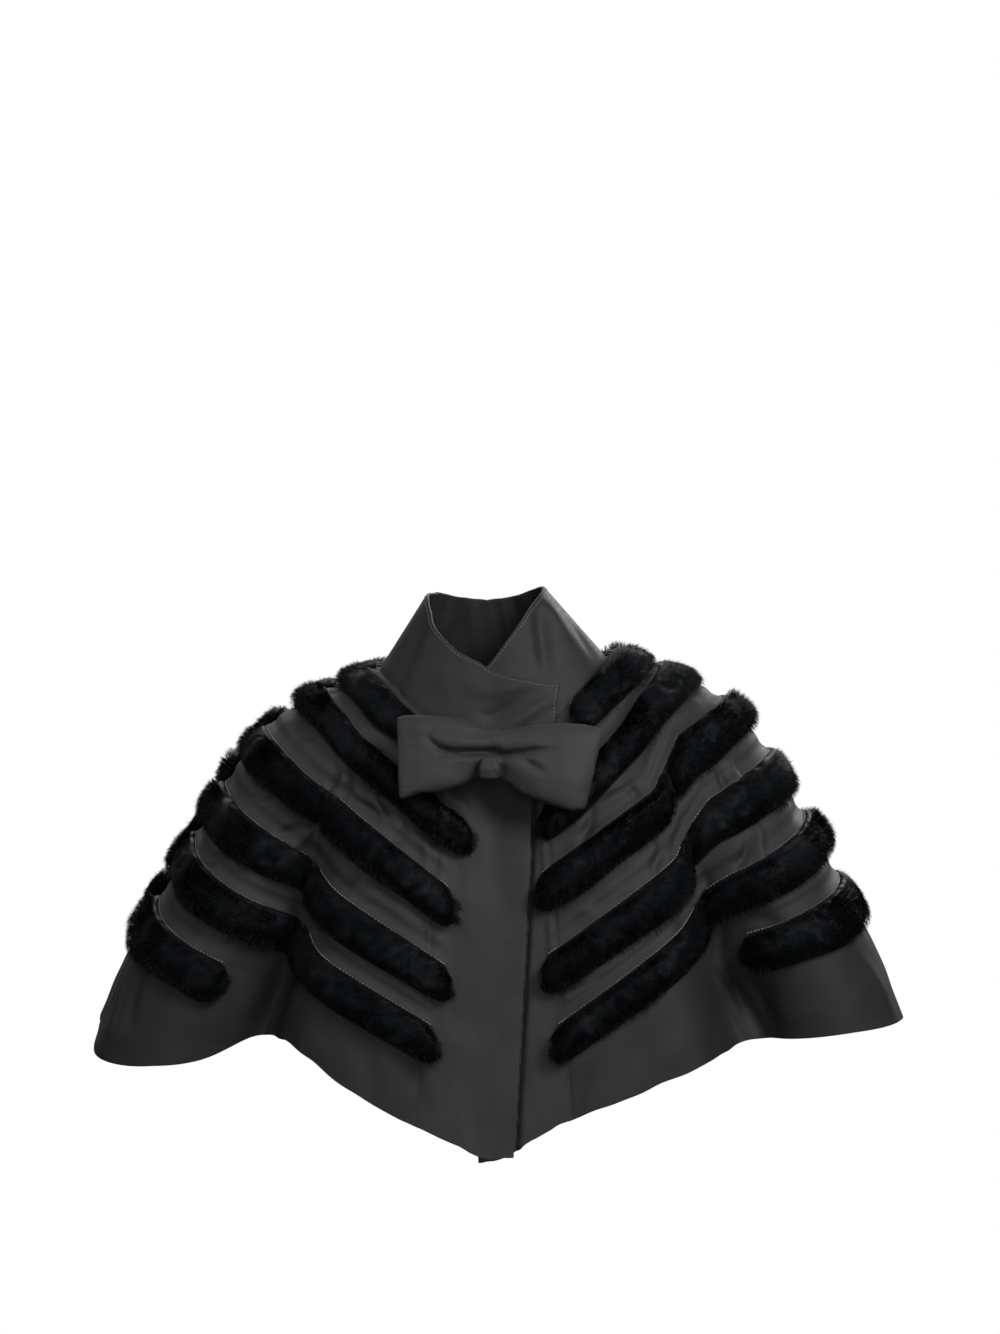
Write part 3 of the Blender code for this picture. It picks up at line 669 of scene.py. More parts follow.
def lift_of(side, own):
    """Level move that takes a piece of the right side clear of the left side where they cross."""
    turn = np.radians(own) * side
    amount = np.where(side == RIGHT, OVERLAP_LIFT * (1.0 - step(own, LIFT_FULL, LIFT_BEGINS)), 0.0)
    return np.stack((np.sin(turn) * amount, -np.cos(turn) * amount, np.zeros_like(amount)), axis=-1)


def fold_back(side, around):
    """Side and station of a place that may lie past the centre back."""
    beyond = around > CENTRE_BACK
    return np.where(beyond, -side, side), np.where(beyond, 2.0 * CENTRE_BACK - around, around)


def station_angle(side, around, along):
    """Angle from the front, on the place's own side, of a station at a distance down from the neck."""
    size = sections_at(along)
    half_width = np.where(side == LEFT, size.left_width, size.right_width)
    share = along / FRONT_LENGTH
    edge = between(PLACKET.edge_at_neck, PLACKET.edge_at_hem, share)
    seam = between(PLACKET.seam_at_neck, PLACKET.seam_at_hem, share)
    fold = between(FOLD_ANGLE_NECK, FOLD_ANGLE_HEM, step(along, 0.0, FOLD_ANGLE_SETTLES))
    angles = np.stack((
        -np.degrees(np.arcsin(edge / half_width)),
        np.degrees(np.arcsin(seam / half_width)),
        fold,
        np.full_like(fold, 90.0),
        np.full_like(fold, 180.0),
    ), axis=-1)
    low = np.clip(np.floor(around).astype(int), 0, 3)
    first = np.take_along_axis(angles, low[..., None], axis=-1)[..., 0]
    second = np.take_along_axis(angles, low[..., None] + 1, axis=-1)[..., 0]
    return between(first, second, around - low)


def cape(side, around, along):
    """Points on the cape's outside and the normals there."""
    around, along = np.broadcast_arrays(np.asarray(around, float), np.asarray(along, float))
    own_side, station = fold_back(side, around)
    own = station_angle(own_side, station, along)
    turn = np.radians(own) * own_side
    return ring(along, turn) + lift_of(own_side, own), normals_of(ring, along, turn)


def row_middle(row, around):
    """Distance of a fur row down from the neck, on the strip's own side and on over the back."""
    own = np.interp(around, ROW_STATIONS, (row.front, row.before_fold, row.past_fold, row.side))
    return np.where(around > SIDE_LINE, row.back, own)


def row_on_panel(panel, row, around):
    """Distance of a fur row down from the neck, across a panel."""
    if panel.starts >= SIDE_LINE:
        return np.full_like(around, row.back)
    return row_middle(row, np.minimum(around, SIDE_LINE))


def row_named(side, name):
    return next(row for row in FUR_ROWS[side] if row.name == name)


def hem_along(side, around):
    """Distance of the hem down from the neck: its plain line, how it hangs, and its ripple."""
    own_side, station = fold_back(side, around)
    right, left = (
        smooth(station, HEM_STATIONS, HEM[half]) + smooth(station, *zip(*HANG[half]))
        for half in (RIGHT, LEFT)
    )
    ripple = HEM_RIPPLE * noise(station * RIPPLES + 2.0 * own_side, np.full_like(station, 0.5), RIPPLE_SEED)
    return np.where(own_side == RIGHT, right, left) + ripple * (1.0 - step(station, RIPPLE_FADES, DEEP_FOLD))


def in_fold(station):
    """True for a strip's end that lies pressed against its neighbour in the deep fold."""
    return abs(station - DEEP_FOLD) < FOLD_REACH


def covers(strip, own_side, station):
    """1 where a strip lies along its row and 0 past its ends."""
    soft = 0.08
    starts = strip.starts - soft if in_fold(strip.starts) else strip.starts + soft
    mine = step(station, starts, starts + soft)
    if strip.ends < CENTRE_BACK:
        last = strip.ends + soft if in_fold(strip.ends) else strip.ends - 0.2 * soft
        mine = mine * (1.0 - step(station, last - soft, last))
        return np.where(own_side == strip.side, mine, 0.0)
    other = step(station, 2.0 * CENTRE_BACK - strip.ends, 2.0 * CENTRE_BACK - strip.ends + soft)
    return np.where(own_side == strip.side, mine, other)


def lip_shape(across):
    """Folded edge of the cloth above a strip: a slow rise, then a steep drop behind the hair."""
    rise = step(across, LIP_AT - LIP_SLOPE, LIP_AT)
    return LIP_HEIGHT * rise * (1.0 - step(across, LIP_AT, LIP_AT + LIP_DROP))


def distance_to(points, line):
    """Distance of points to a line of points, and the share of the line where it is nearest."""
    best = np.full(points.shape[:-1], 9.0)
    where = np.zeros(points.shape[:-1])
    for i in range(len(line) - 1):
        reach = line[i + 1] - line[i]
        t = np.clip(np.sum((points - line[i]) * reach, axis=-1) / np.dot(reach, reach), 0.0, 1.0)
        gap = np.linalg.norm(points - (line[i] + t[..., None] * reach), axis=-1)
        nearer = gap < best
        best = np.where(nearer, gap, best)
        where = np.where(nearer, (i + t) / (len(line) - 1), where)
    return best, where


def trough(points, line, width, depth):
    """Soft trough or ridge along a line, fading out at both ends."""
    gap, where = distance_to(points, line)
    fade = np.sin(np.pi * between(CREASE_END, 1.0 - CREASE_END, where)) ** CREASE_FADE
    return depth * np.exp(-((gap / width) ** 2)) * fade


def panel_rows(panel, around):
    """Distances down from the neck of a panel's rows, close together where the cloth folds at a strip."""
    lip_offsets = (-0.0310, -0.0280, -0.0250, -0.0225, -0.0205, -0.0190, -0.0178, -0.0168, -0.0157, -0.0130)
    under_offsets = (0.0000, 0.0140, 0.0190, 0.0225)
    band_rows = 6
    hem_rows = 22
    hem_crowding = 1.25
    rows = []
    for row in FUR_ROWS[panel.side]:
        if row.name == LOWEST_ROW and panel.ends <= DEEP_FOLD:
            continue
        middle = row_on_panel(panel, row, around)
        if rows:
            start = rows[-1]
            end = middle + lip_offsets[0]
            rows += [start + (end - start) * (i + 1) / (band_rows + 1) for i in range(band_rows)]
        rows += [middle + offset for offset in lip_offsets + under_offsets]
    start = rows[-1]
    hem = hem_along(panel.side, around)
    for i in range(1, hem_rows + 1):
        rows.append(between(start, hem, 1.0 - (1.0 - i / hem_rows) ** hem_crowding))
    rows[0] = np.maximum(rows[0], 0.0)
    for i in range(1, len(rows)):
        rows[i] = np.maximum(rows[i], rows[i - 1] + LEAST_ROW)
    return np.array(rows)


def lapped_edge():
    """Line on the lower placket just outside the edge of the upper one, to a little past the hem."""
    count = 40
    past_hem = 0.01
    along = np.linspace(0.0, FRONT_LENGTH + past_hem, count)
    own = station_angle(np.full(count, RIGHT), np.zeros(count), along)
    line = ring(along, np.radians(own) * RIGHT)
    line[:, 0] += LAP_GAP_OUT
    return line


def rumple(kind, around, along):
    return kind.height * noise(around * kind.per_station + kind.shift, along * kind.per_metre, kind.seed)


def crease_line(crease):
    """A crease's way over the cloth, wavering a little."""
    share = np.linspace(0.0, 1.0, CREASE_POINTS)
    around = between(crease.around, crease.to_around, share)
    line, _ = cape(crease.side, around, between(crease.along, crease.to_along, share))
    line[:, 0] += CREASE_WAVER * np.sin(share * CREASE_WAVES)
    return line


def panel_relief(panel, around, along, points):
    """How far the cloth stands off its plain form: folded edges, puffed bands, creases and seams."""
    own_side, station = fold_back(panel.side, around)
    relief = np.zeros_like(along)
    for row in FUR_ROWS[panel.side]:
        across = along - row_on_panel(panel, row, around)
        lies = np.zeros_like(along)
        for strip in STRIPS:
            if strip.row == row.name:
                lies = np.maximum(lies, covers(strip, own_side, station))
        relief += lip_shape(across) * lies
        puff = step(across, PUFF_BEGINS, PUFF_FULL) * (1.0 - step(across, PUFF_FULL, PUFF_ENDS))
        relief += BAND_PUFF * puff * lies
    for crease in CREASES:
        relief += trough(points, crease_line(crease), crease.width, crease.depth)
    relief += rumple(FINE_RUMPLE, around, along)
    relief += rumple(BROAD_RUMPLE, around, along) * step(along, YOKE_TOP, YOKE_FOOT)
    relief *= step(along, 0.0, NECK_FLAT)
    if panel.name == "placket_left":
        gap, _ = distance_to(points, lapped_edge())
        relief -= LAP_GAP * np.exp(-((gap / LAP_GAP_WIDTH) ** 2))
    for edge, seam_station in ((0, panel.starts), (-1, panel.ends)):
        seam, _ = cape(panel.side, np.full(len(along), seam_station), along[:, edge])
        gap = np.linalg.norm(points - seam[:, None], axis=-1)
        relief -= SEAM_DIP[int(seam_station)] * np.exp(-((gap / SEAM_WIDTH) ** 2))
    return relief


def read_vertices(piece, kind="co"):
    """Places or normals of a piece's vertices."""
    values = np.empty(len(piece.data.vertices) * 3)
    piece.data.vertices.foreach_get(kind, values)
    return values.reshape(-1, 3)


def set_points(piece, points):
    piece.data.vertices.foreach_set("co", np.ascontiguousarray(points).ravel())
    piece.data.update()


def lay_map(piece, places):
    """Flat map of a piece from a place for each vertex."""
    maps = piece.data.uv_layers
    flat_map = maps[0] if maps else maps.new(name="cloth")
    flat_map.name = "cloth"
    corners = np.empty(len(piece.data.loops), int)
    piece.data.loops.foreach_get("vertex_index", corners)
    flat_map.data.foreach_set("uv", places[corners].ravel())


def pick(piece):
    bpy.ops.object.select_all(action="DESELECT")
    piece.select_set(True)
    bpy.context.view_layer.objects.active = piece


def mesh_piece(name, points, faces):
    mesh = bpy.data.meshes.new(name)
    mesh.from_pydata(points, [], faces)
    mesh.shade_smooth()
    piece = bpy.data.objects.new(name, mesh)
    bpy.context.scene.collection.objects.link(piece)
    return piece


def grid_piece(name, points, u, v):
    """A sheet made from a flat grid, its corners moved onto a table of points, with its own flat map."""
    lines, columns = points.shape[:2]
    bpy.ops.object.select_all(action="DESELECT")
    bpy.ops.mesh.primitive_grid_add(x_subdivisions=columns - 1, y_subdivisions=lines - 1, size=2.0)
    sheet = bpy.context.object
    sheet.name = name
    sheet.data.name = name
    flat = read_vertices(sheet)
    column = np.rint((flat[:, 0] + 1.0) * 0.5 * (columns - 1)).astype(int)
    line = np.rint((1.0 - flat[:, 1]) * 0.5 * (lines - 1)).astype(int)
    lay_map(sheet, np.stack((u[line, column], v[line, column]), axis=-1))
    set_points(sheet, points[line, column])
    return sheet


def apply_modifier(piece, kind, **settings):
    bpy.context.view_layer.objects.active = piece
    modifier = piece.modifiers.new(kind.lower(), kind)
    for key, value in settings.items():
        setattr(modifier, key, value)
    bpy.ops.object.modifier_apply(modifier=modifier.name)


def face_out(piece, centre):
    """Turns all faces so that the sheet's outside points away from the wearer."""
    pick(piece)
    polygon = piece.data.polygons[len(piece.data.polygons) // 2]
    away = np.array(polygon.center) - np.asarray(centre(polygon.center))
    if np.dot(np.array(polygon.normal), away) < 0:
        bpy.ops.object.mode_set(mode="EDIT")
        bpy.ops.mesh.select_all(action="SELECT")
        bpy.ops.mesh.flip_normals()
        bpy.ops.object.mode_set(mode="OBJECT")


def wall(piece, thickness):
    """Gives a sheet its thickness inwards and rounds its cut edges."""
    apply_modifier(piece, "SOLIDIFY", thickness=thickness, offset=-1.0)
    apply_modifier(
        piece, "BEVEL", width=CUT_EDGE_ROUND * thickness, segments=2, limit_method="ANGLE",
        angle_limit=CUT_EDGE_ANGLE,
    )
    piece.data.shade_smooth()


def lengths(points, axis):
    """Running length along the lines of a table of points."""
    gaps = np.linalg.norm(np.diff(points, axis=axis), axis=-1)
    start = np.zeros_like(np.take(gaps, [0], axis=axis))
    return np.concatenate((start, np.cumsum(gaps, axis=axis)), axis=axis)


# Finishes

# The draped panels get painted shade toward the hem: their colour darkens from one distance down to another
HEM_SHADE_BEGINS = 0.230
HEM_SHADE_FULL = 0.370


def linear(hex_colour):
    """Linear colour of an sRGB hex value."""
    channels = [int(hex_colour[i:i + 2], 16) / 255.0 for i in (1, 3, 5)]
    return [c / 12.92 if c <= 0.04045 else ((c + 0.055) / 1.055) ** 2.4 for c in channels] + [1.0]


def add(tree, kind, inputs=(), **settings):
    """Adds a node, sets its options and fills or links its inputs."""
    made = tree.nodes.new(kind)
    for key, value in settings.items():
        setattr(made, key, value)
    for key, value in dict(inputs).items():
        if isinstance(value, bpy.types.NodeSocket):
            tree.links.new(value, made.inputs[key])
        else:
            made.inputs[key].default_value = value
    return made


def new_material(name):
    material = bpy.data.materials.new(name)
    material.use_nodes = True
    return material, material.node_tree, material.node_tree.nodes["Principled BSDF"]


def satin_material(name, dark, pale, roughness, sheen, painted_hem_shade=1.0):
    """Matte duchess satin, woven: a soft broad sheen over fine ribs, with faint slubs along the weft.

    Threads of 0.15 mm would not show, so the ribs are drawn 0.9 mm apart. A painted hem shade under 1
    darkens the cloth's colour by that share toward the hem, as painted shade.
    """
    rib = 0.0009
    slub_long = 0.030
    slub_short = 0.0016
    cloud = 0.060
    material, tree, shader = new_material(name)
    place = add(tree, "ShaderNodeUVMap", uv_map="cloth").outputs["UV"]
    ribs = add(tree, "ShaderNodeTexWave", {
        "Vector": place, "Scale": 2.0 * math.pi / (20.0 * rib), "Distortion": 0.6, "Detail": 1.0,
    }, wave_type="BANDS", bands_direction="Y")
    stretched = add(tree, "ShaderNodeMapping", {
        "Vector": place, "Scale": (1.0 / slub_long, 1.0 / slub_short, 1.0),
    })
    slubs = add(tree, "ShaderNodeTexNoise", {
        "Vector": stretched.outputs["Vector"], "Scale": 1.0, "Detail": 3.0,
    })
    clouds = add(tree, "ShaderNodeTexNoise", {"Vector": place, "Scale": 1.0 / cloud, "Detail": 2.0})
    mixed = add(tree, "ShaderNodeMath", {
        0: slubs.outputs["Fac"], 1: clouds.outputs["Fac"],
    }, operation="MULTIPLY")
    share = add(tree, "ShaderNodeMapRange", {
        "Value": mixed.outputs["Value"], "From Min": 0.12, "From Max": 0.40, "To Min": 0.0, "To Max": 1.0,
    })
    colour = add(tree, "ShaderNodeMix", {
        "Factor": share.outputs["Result"], 6: linear(dark), 7: linear(pale),
    }, data_type="RGBA").outputs[2]
    # Painted shade: the cloth's colour is darkened toward the hem
    if painted_hem_shade < 1.0:
        down = add(tree, "ShaderNodeSeparateXYZ", {"Vector": place})
        hem_shade_factor = add(tree, "ShaderNodeMapRange", {
            "Value": down.outputs["Y"], "From Min": HEM_SHADE_BEGINS, "From Max": HEM_SHADE_FULL,
            "To Min": 1.0, "To Max": painted_hem_shade,
        }, interpolation_type="SMOOTHSTEP")
        colour = add(tree, "ShaderNodeVectorMath", {
            0: colour, "Scale": hem_shade_factor.outputs["Result"],
        }, operation="SCALE").outputs["Vector"]
    rough = add(tree, "ShaderNodeMapRange", {
        "Value": slubs.outputs["Fac"], "From Min": 0.3, "From Max": 0.7,
        "To Min": roughness - 0.05, "To Max": roughness + 0.06,
    })
    height = add(tree, "ShaderNodeMath", {0: ribs.outputs["Fac"], 1: slubs.outputs["Fac"]}, operation="ADD")
    bump = add(tree, "ShaderNodeBump", {
        "Height": height.outputs["Value"], "Strength": 0.22, "Distance": 0.00022,
    })
    tree.links.new(colour, shader.inputs["Base Color"])
    tree.links.new(rough.outputs["Result"], shader.inputs["Roughness"])
    tree.links.new(bump.outputs["Normal"], shader.inputs["Normal"])
    shader.inputs["Specular IOR Level"].default_value = 0.24
    shader.inputs["Sheen Weight"].default_value = sheen
    shader.inputs["Sheen Roughness"].default_value = 0.35
    shader.inputs["Sheen Tint"].default_value = linear("#c8c8cc")
    return material


def fur_material(name, dark, pale):
    """Dyed plush fur: near black with a cold cast, each hair a little lighter or darker, tips paler; the
    tones also carry painted shade on a strip's crown and painted light toward its edges.
    """
    patch = 0.016
    contrast = 1.7
    material, tree, shader = new_material(name)
    tint = add(tree, "ShaderNodeAttribute", attribute_name="hair").outputs["Fac"]
    place = add(tree, "ShaderNodeTexCoord").outputs["Object"]
    tufts = add(tree, "ShaderNodeTexNoise", {"Vector": place, "Scale": 1.0 / patch, "Detail": 2.0})
    mixed = add(tree, "ShaderNodeMath", {0: tint, 1: tufts.outputs["Fac"]}, operation="MULTIPLY")
    share = add(tree, "ShaderNodeMath", {
        0: mixed.outputs["Value"], 1: contrast,
    }, operation="MULTIPLY", use_clamp=True)
    tone = add(tree, "ShaderNodeMix", {
        "Factor": share.outputs["Value"], 6: linear(dark), 7: linear(pale),
    }, data_type="RGBA")
    tree.links.new(tone.outputs[2], shader.inputs["Base Color"])
    shader.inputs["Roughness"].default_value = 0.55
    shader.inputs["Specular IOR Level"].default_value = 0.08
    shader.inputs["Sheen Weight"].default_value = 0.02
    shader.inputs["Sheen Roughness"].default_value = 0.5
    return material


def thread_material(name, dark, pale):
    """Twisted sewing thread, a shade paler than the satin, with its twist as fine bands."""
    twist = 0.0005
    material, tree, shader = new_material(name)
    place = add(tree, "ShaderNodeTexCoord").outputs["Object"]
    bands = add(tree, "ShaderNodeTexWave", {
        "Vector": place, "Scale": 2.0 * math.pi / (20.0 * twist), "Distortion": 1.5,
    }, wave_type="BANDS", bands_direction="DIAGONAL")
    bump = add(tree, "ShaderNodeBump", {"Height": bands.outputs["Fac"], "Strength": 0.3, "Distance": 0.0001})
    tone = add(tree, "ShaderNodeMix", {
        "Factor": bands.outputs["Fac"], 6: linear(dark), 7: linear(pale),
    }, data_type="RGBA")
    tree.links.new(tone.outputs[2], shader.inputs["Base Color"])
    tree.links.new(bump.outputs["Normal"], shader.inputs["Normal"])
    shader.inputs["Roughness"].default_value = 0.5
    shader.inputs["Sheen Weight"].default_value = 0.2
    return material


SATIN = satin_material("matte_black_satin", "#262627", "#313133", 0.62, 0.05)
# The draped panels' satin, with painted shade darkening its colour toward the hem
HEM_SHADED_SATIN = satin_material("draped_black_satin_hem_shaded", "#262627", "#313133", 0.62, 0.05, 0.66)
# The collar's satin is the body's satin painted about a tenth darker, as painted shade
COLLAR_SATIN_PAINTED_DARKER = satin_material("stiffened_black_satin_painted_darker", "#222223", "#2b2b2d", 0.60, 0.05)
BOW_SATIN = satin_material("padded_black_satin", "#2b2b2c", "#373739", 0.64, 0.06)
FUR = fur_material("dyed_plush_fur", "#020508", "#181e24")
# The folded-edge stitching is real thread, painted paler still as a painted highlight for the glint along
# each folded edge
PALE_THREAD_AND_GLINT = thread_material("sewing_thread", "#7c7c7e", "#a2a2a4")
THREAD_DARK = thread_material("dark_sewing_thread", "#303032", "#8a8a8c")


def finish_piece(piece, material, node=None):
    """Sets a piece's finish and says where it belongs."""
    piece.data.materials.clear()
    piece.data.materials.append(material)
    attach(piece, "root")
    if node:
        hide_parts(node)


def make_panels():
    for panel in PANELS:
        tuck = SEAM_TUCK * (panel.ends - panel.starts) / panel.flat_width
        first = panel.starts - tuck if panel.starts > 0 else panel.starts
        around = np.linspace(first, panel.ends + tuck, panel.spans + 1)
        along = panel_rows(panel, around)
        around = np.broadcast_to(around, along.shape)
        plain, normals = cape(panel.side, around, along)
        relief = panel_relief(panel, around, along, plain)
        points = plain + normals * relief[..., None]
        sheet = grid_piece(panel.name + "_cloth", points, lengths(plain, 1), along)
        face_out(sheet, lambda place: (0.0, 0.0, place[2] - 0.05))
        wall(sheet, CLOTH)
        finish_piece(sheet, SATIN if panel.starts == 0 else HEM_SHADED_SATIN, panel.name)


# Fur


def fur_height(across):
    """Height of the nap over the cloth, across a strip."""
    t = np.clip((np.abs(across) - NAP_FLAT) / NAP_FALL, 0.0, 1.0)
    return NAP_HEIGHT * (1.0 - t ** NAP_SHOULDER) ** NAP_ROUND


def end_share(gap):
    """Size of a strip near its rounded end."""
    return np.sqrt(1.0 - (1.0 - np.clip(gap + FUR_END_OVER, 0.0, FUR_END) / FUR_END) ** 2)


def run_of(points):
    """Running length along a line of points."""
    return np.concatenate(([0.0], np.cumsum(np.linalg.norm(np.diff(points, axis=0), axis=1))))


class StripFrame:
    """The cloth under a strip: places along it by length, and the directions there."""

    def __init__(self, strip):
        self.row = row_named(strip.side, strip.row)
        self.side = strip.side
        self.around = np.linspace(strip.starts, strip.ends, STRIP_SAMPLES)
        middle, _ = cape(strip.side, self.around, row_middle(self.row, self.around))
        self.run = run_of(middle)
        self.length = self.run[-1]
        self.pressed = (in_fold(strip.starts), in_fold(strip.ends))
        self.front_length = float(np.interp(min(SIDE_LINE, strip.ends), self.around, self.run))

    def place(self, run, across, height):
        """Points over the cloth at a length along the strip, a distance across it and a height."""
        least_along = 0.0005
        bit_ahead = 0.002
        own_line = 100.0 * self.row.front
        around = np.interp(run, self.run, self.around)
        sway = noise(run / WOBBLE_LENGTH, np.full_like(run, own_line), WOBBLE_SEED)
        across = across + WOBBLE * sway * step(across, WOBBLE_BEGINS, WOBBLE_FULL)
        past = run - np.clip(run, 0.0, self.length)
        along = np.maximum(row_middle(self.row, around) + across, least_along)
        points, normals = cape(self.side, around, along)
        ahead, _ = cape(self.side, around + bit_ahead, along)
        forward = unit(ahead - points)
        return points + normals * height[..., None] + forward * past[..., None]

    def end_shares(self, run):
        """Width and height of the strip near its ends, as shares."""
        width = np.ones_like(run)
        tall = np.ones_like(run)
        for gap, pressed in zip((run, self.length - run), self.pressed):
            if pressed:
                width = width * between(PRESSED_WIDTH, 1.0, step(gap, 0.0, 0.35 * FOLD_TIP))
                tall = tall * between(PRESSED_HEIGHT, 1.0, step(gap, -0.3 * FOLD_TIP, FOLD_TIP))
            else:
                width = width * end_share(gap)
                tall = tall * end_share(gap)
        return width, tall


def fur_core(frame_of, seed):
    """Dark lumpy body under the hair: a closed tube along the strip, as points and triangles."""
    profile = np.array(CORE_PROFILE)
    count = len(profile)
    spans = max(CORE_LEAST_SPANS, int(frame_of.length / CORE_SPAN))
    run = np.linspace(CORE_INSET, frame_of.length - CORE_INSET, spans + 1)[:, None]
    width, tall = frame_of.end_shares(run)
    across = np.broadcast_to(profile * CORE_HALF_WIDTH, (spans + 1, count)) * width
    crown = fur_height(np.broadcast_to(profile * CORE_NAP_WIDTH, across.shape)) * CORE_SHARE * tall
    lumps = 1.0 + CORE_LUMP * noise(run / CORE_LUMP_LENGTH, profile * 2.0 + 5.0, seed)
    height = np.maximum(crown * lumps, CORE_FOOT)
    points = frame_of.place(np.broadcast_to(run, across.shape), across, height)
    line = np.arange(spans)[:, None] * count
    column = np.arange(count)[None, :]
    after = (column + 1) % count
    corners = (line + column, line + count + column, line + count + after, line + after)
    quads = np.stack(corners, axis=-1).reshape(-1, 4)
    faces = np.concatenate((quads[:, (0, 1, 2)], quads[:, (0, 2, 3)]))
    fan = np.arange(1, count - 1)
    first = np.stack((np.zeros_like(fan), fan, fan + 1), axis=-1)
    last = np.stack((np.zeros_like(fan), fan + 1, fan), axis=-1) + spans * count
    return points.reshape(-1, 3), np.concatenate((faces, first, last))


def hair_roots(frame_of, rng):
    """Where each hair grows, along the strip and across it."""
    behind = frame_of.length - frame_of.front_length
    on_front = int(HAIR_DENSITY_FRONT * frame_of.front_length * 2.0 * FUR_BASE)
    on_back = int(HAIR_DENSITY_BACK * behind * 2.0 * FUR_BASE)
    run = np.concatenate((
        rng.uniform(0.0, frame_of.front_length, on_front),
        frame_of.front_length + rng.uniform(0.0, behind, on_back),
    ))
    return run, rng.uniform(-1.0, 1.0, len(run)) * ROOT_REACH


def tufts_at(run, root, rng):
    """Four chance numbers of each hair's tuft, and the way to the tuft's middle along and across."""
    cells = rng.uniform(-0.5, 0.5, (TUFT_LINES, TUFT_COLUMNS, 4))
    line = np.floor(run / TUFT)
    column = np.floor((root + STRIP_EDGE) / TUFT)
    tuft = cells[line.astype(int) % TUFT_LINES, column.astype(int) % TUFT_COLUMNS]
    to_run = (line + 0.5 + TUFT_SHIFT * tuft[:, 0]) * TUFT - run
    to_across = (column + 0.5 + TUFT_SHIFT * tuft[:, 1]) * TUFT - STRIP_EDGE - root
    return tuft, to_run, to_across


def dents_at(run, root, rng):
    """Depth of the pressed places in the nap, one in each stretch of a strip."""
    cell = run / DENT_EVERY
    number = np.floor(cell).astype(int) % DENT_COUNT
    places = rng.uniform(0.2, 0.8, DENT_COUNT)[number]
    deep = rng.uniform(0.2, 1.0, DENT_COUNT)[number]
    return deep * np.exp(-(((cell - np.floor(cell) - places) * DENT_EVERY / DENT + root / STRIP_EDGE) ** 2))


def hair_blades(base, middle, end, sideways, width):
    """Points and triangles of hairs that narrow from foot to tip."""
    foot = sideways * width * 0.5
    waist = foot * BEND_WIDTH
    points = np.stack((base - foot, base + foot, middle - waist, middle + waist, end), axis=1)
    start = np.arange(len(points))[:, None, None] * points.shape[1]
    faces = start + np.array(((0, 1, 3), (0, 3, 2), (2, 3, 4)))[None]
    return points.reshape(-1, 3), faces.reshape(-1, 3)


def hair_strands(frame_of, seed):
    """Hair of a strip: blades from the cloth up and over, lying down the cape and gathered in tufts."""
    rng = np.random.default_rng(seed)
    run, root = hair_roots(frame_of, rng)
    count = len(run)
    tuft, to_run, to_across = tufts_at(run, root, rng)
    share, tall = frame_of.end_shares(run)
    ahead = np.where(run < 0.5 * frame_of.length, -1.0, 1.0)
    own_line = np.full_like(run, seed * 1.7)
    flow = noise(run / FLOW_LENGTH, own_line, seed + 1)
    parting = noise(run / PARTING_LENGTH, root / PARTING_WIDTH + 4.0, seed + 2)
    lobes = np.clip(LOBE_CONTRAST * noise(run / LOBE, own_line, seed + 3), -1.0, 1.0)
    dents = dents_at(run, root, rng)

    down = root / FUR_BASE
    tip = root * (TIP_SPREAD + LOBE_SPREAD * lobes - DENT_SPREAD * dents)
    tip += HAIR_LAY * (1.0 + down) * (LAY_SHARE + PARTING_LAY * parting)
    tip += to_across * TUFT_PULL + FLOW_ACROSS * flow
    tip += rng.normal(0.0, LOOSE_ACROSS, count) + np.maximum(down, 0.0) * rng.exponential(LOOSE_ACROSS, count)
    tip_run = run + to_run * TUFT_PULL + ahead * (1.0 - share) * END_LEAN
    tip_run += FLOW_ALONG * flow + PARTING_ALONG * parting + rng.normal(0.0, LOOSE_ALONG, count)

    size = 1.0 + TUFT_RISE * tuft[:, 2] + rng.normal(0.0, LOOSE_RISE, count)
    size += LOBE_SWELL * lobes + PARTING_RISE * parting - DENT_SINK * dents
    stray = rng.uniform(0.0, 1.0, count) > STRAY_FROM
    size = np.where(stray, size + STRAY_RISE, size)
    tip = np.maximum(tip, UPPER_EDGE + rng.normal(0.0, LOOSE_EDGE, count)) * share
    root = root * share

    scale = np.sqrt(tall) * size
    narrow = np.maximum(share, LEAST_SHARE)
    top = np.maximum(fur_height(tip * TIP_NAP / narrow) * scale, LEAST_NAP)
    bend = between(root, tip, BEND_ACROSS)
    bend_height = np.maximum(BLADE_BEND * top, BLADE_BEND_NAP * fur_height(bend / narrow) * scale)
    bend_height = np.minimum(bend_height, top * BLADE_BEND_CAP)
    base = frame_of.place(run, root, BLADE_FOOT * top)
    middle = frame_of.place(between(run, tip_run, BEND_ALONG), bend, bend_height)
    end = frame_of.place(tip_run, tip, top * BLADE_TIP)
    heart = frame_of.place(tip_run, tip * HEART_ACROSS, np.full(count, CORE_FOOT))

    outward = unit(end - heart)
    sideways = unit(np.cross(end - base, outward) + rng.normal(0.0, BLADE_TWIST, (count, 3)))
    wider = np.where(run > frame_of.front_length, BACK_HAIR_WIDER, 1.0)
    width = HAIR_WIDTH * rng.uniform(*HAIR_WIDTH_RANGE, count) * wider
    points, faces = hair_blades(base, middle, end, sideways, width[:, None])

    patches = noise(run / PATCH, root / PATCH_WIDTH + 9.0, seed + 4)
    brushed = step(patches, BRUSHED_BEGINS, BRUSHED_FULL)
    tone = TONE_LEAST + TONE_TUFT * tuft[:, 3] + TONE_BRUSHED * brushed + rng.normal(0.0, TONE_LOOSE, count)
    # Painted light and shade: hairs on a strip's lit crown are darkened and those toward its shaded edges
    # lightened
    tone = np.clip(tone * (CROWN_PAINTED_DARK + EDGE_PAINTED_LIGHT * np.abs(root) / ROOT_REACH), 0.0, 1.0)
    tints = tone[:, None] * np.array(BLADE_TONES)[None]
    facing = unit(outward + FACING_TIP * unit(end - middle) + rng.normal(0.0, FACING_LOOSE, (count, 3)))
    return points, faces, tints.ravel(), np.repeat(facing, len(BLADE_TONES), axis=0)


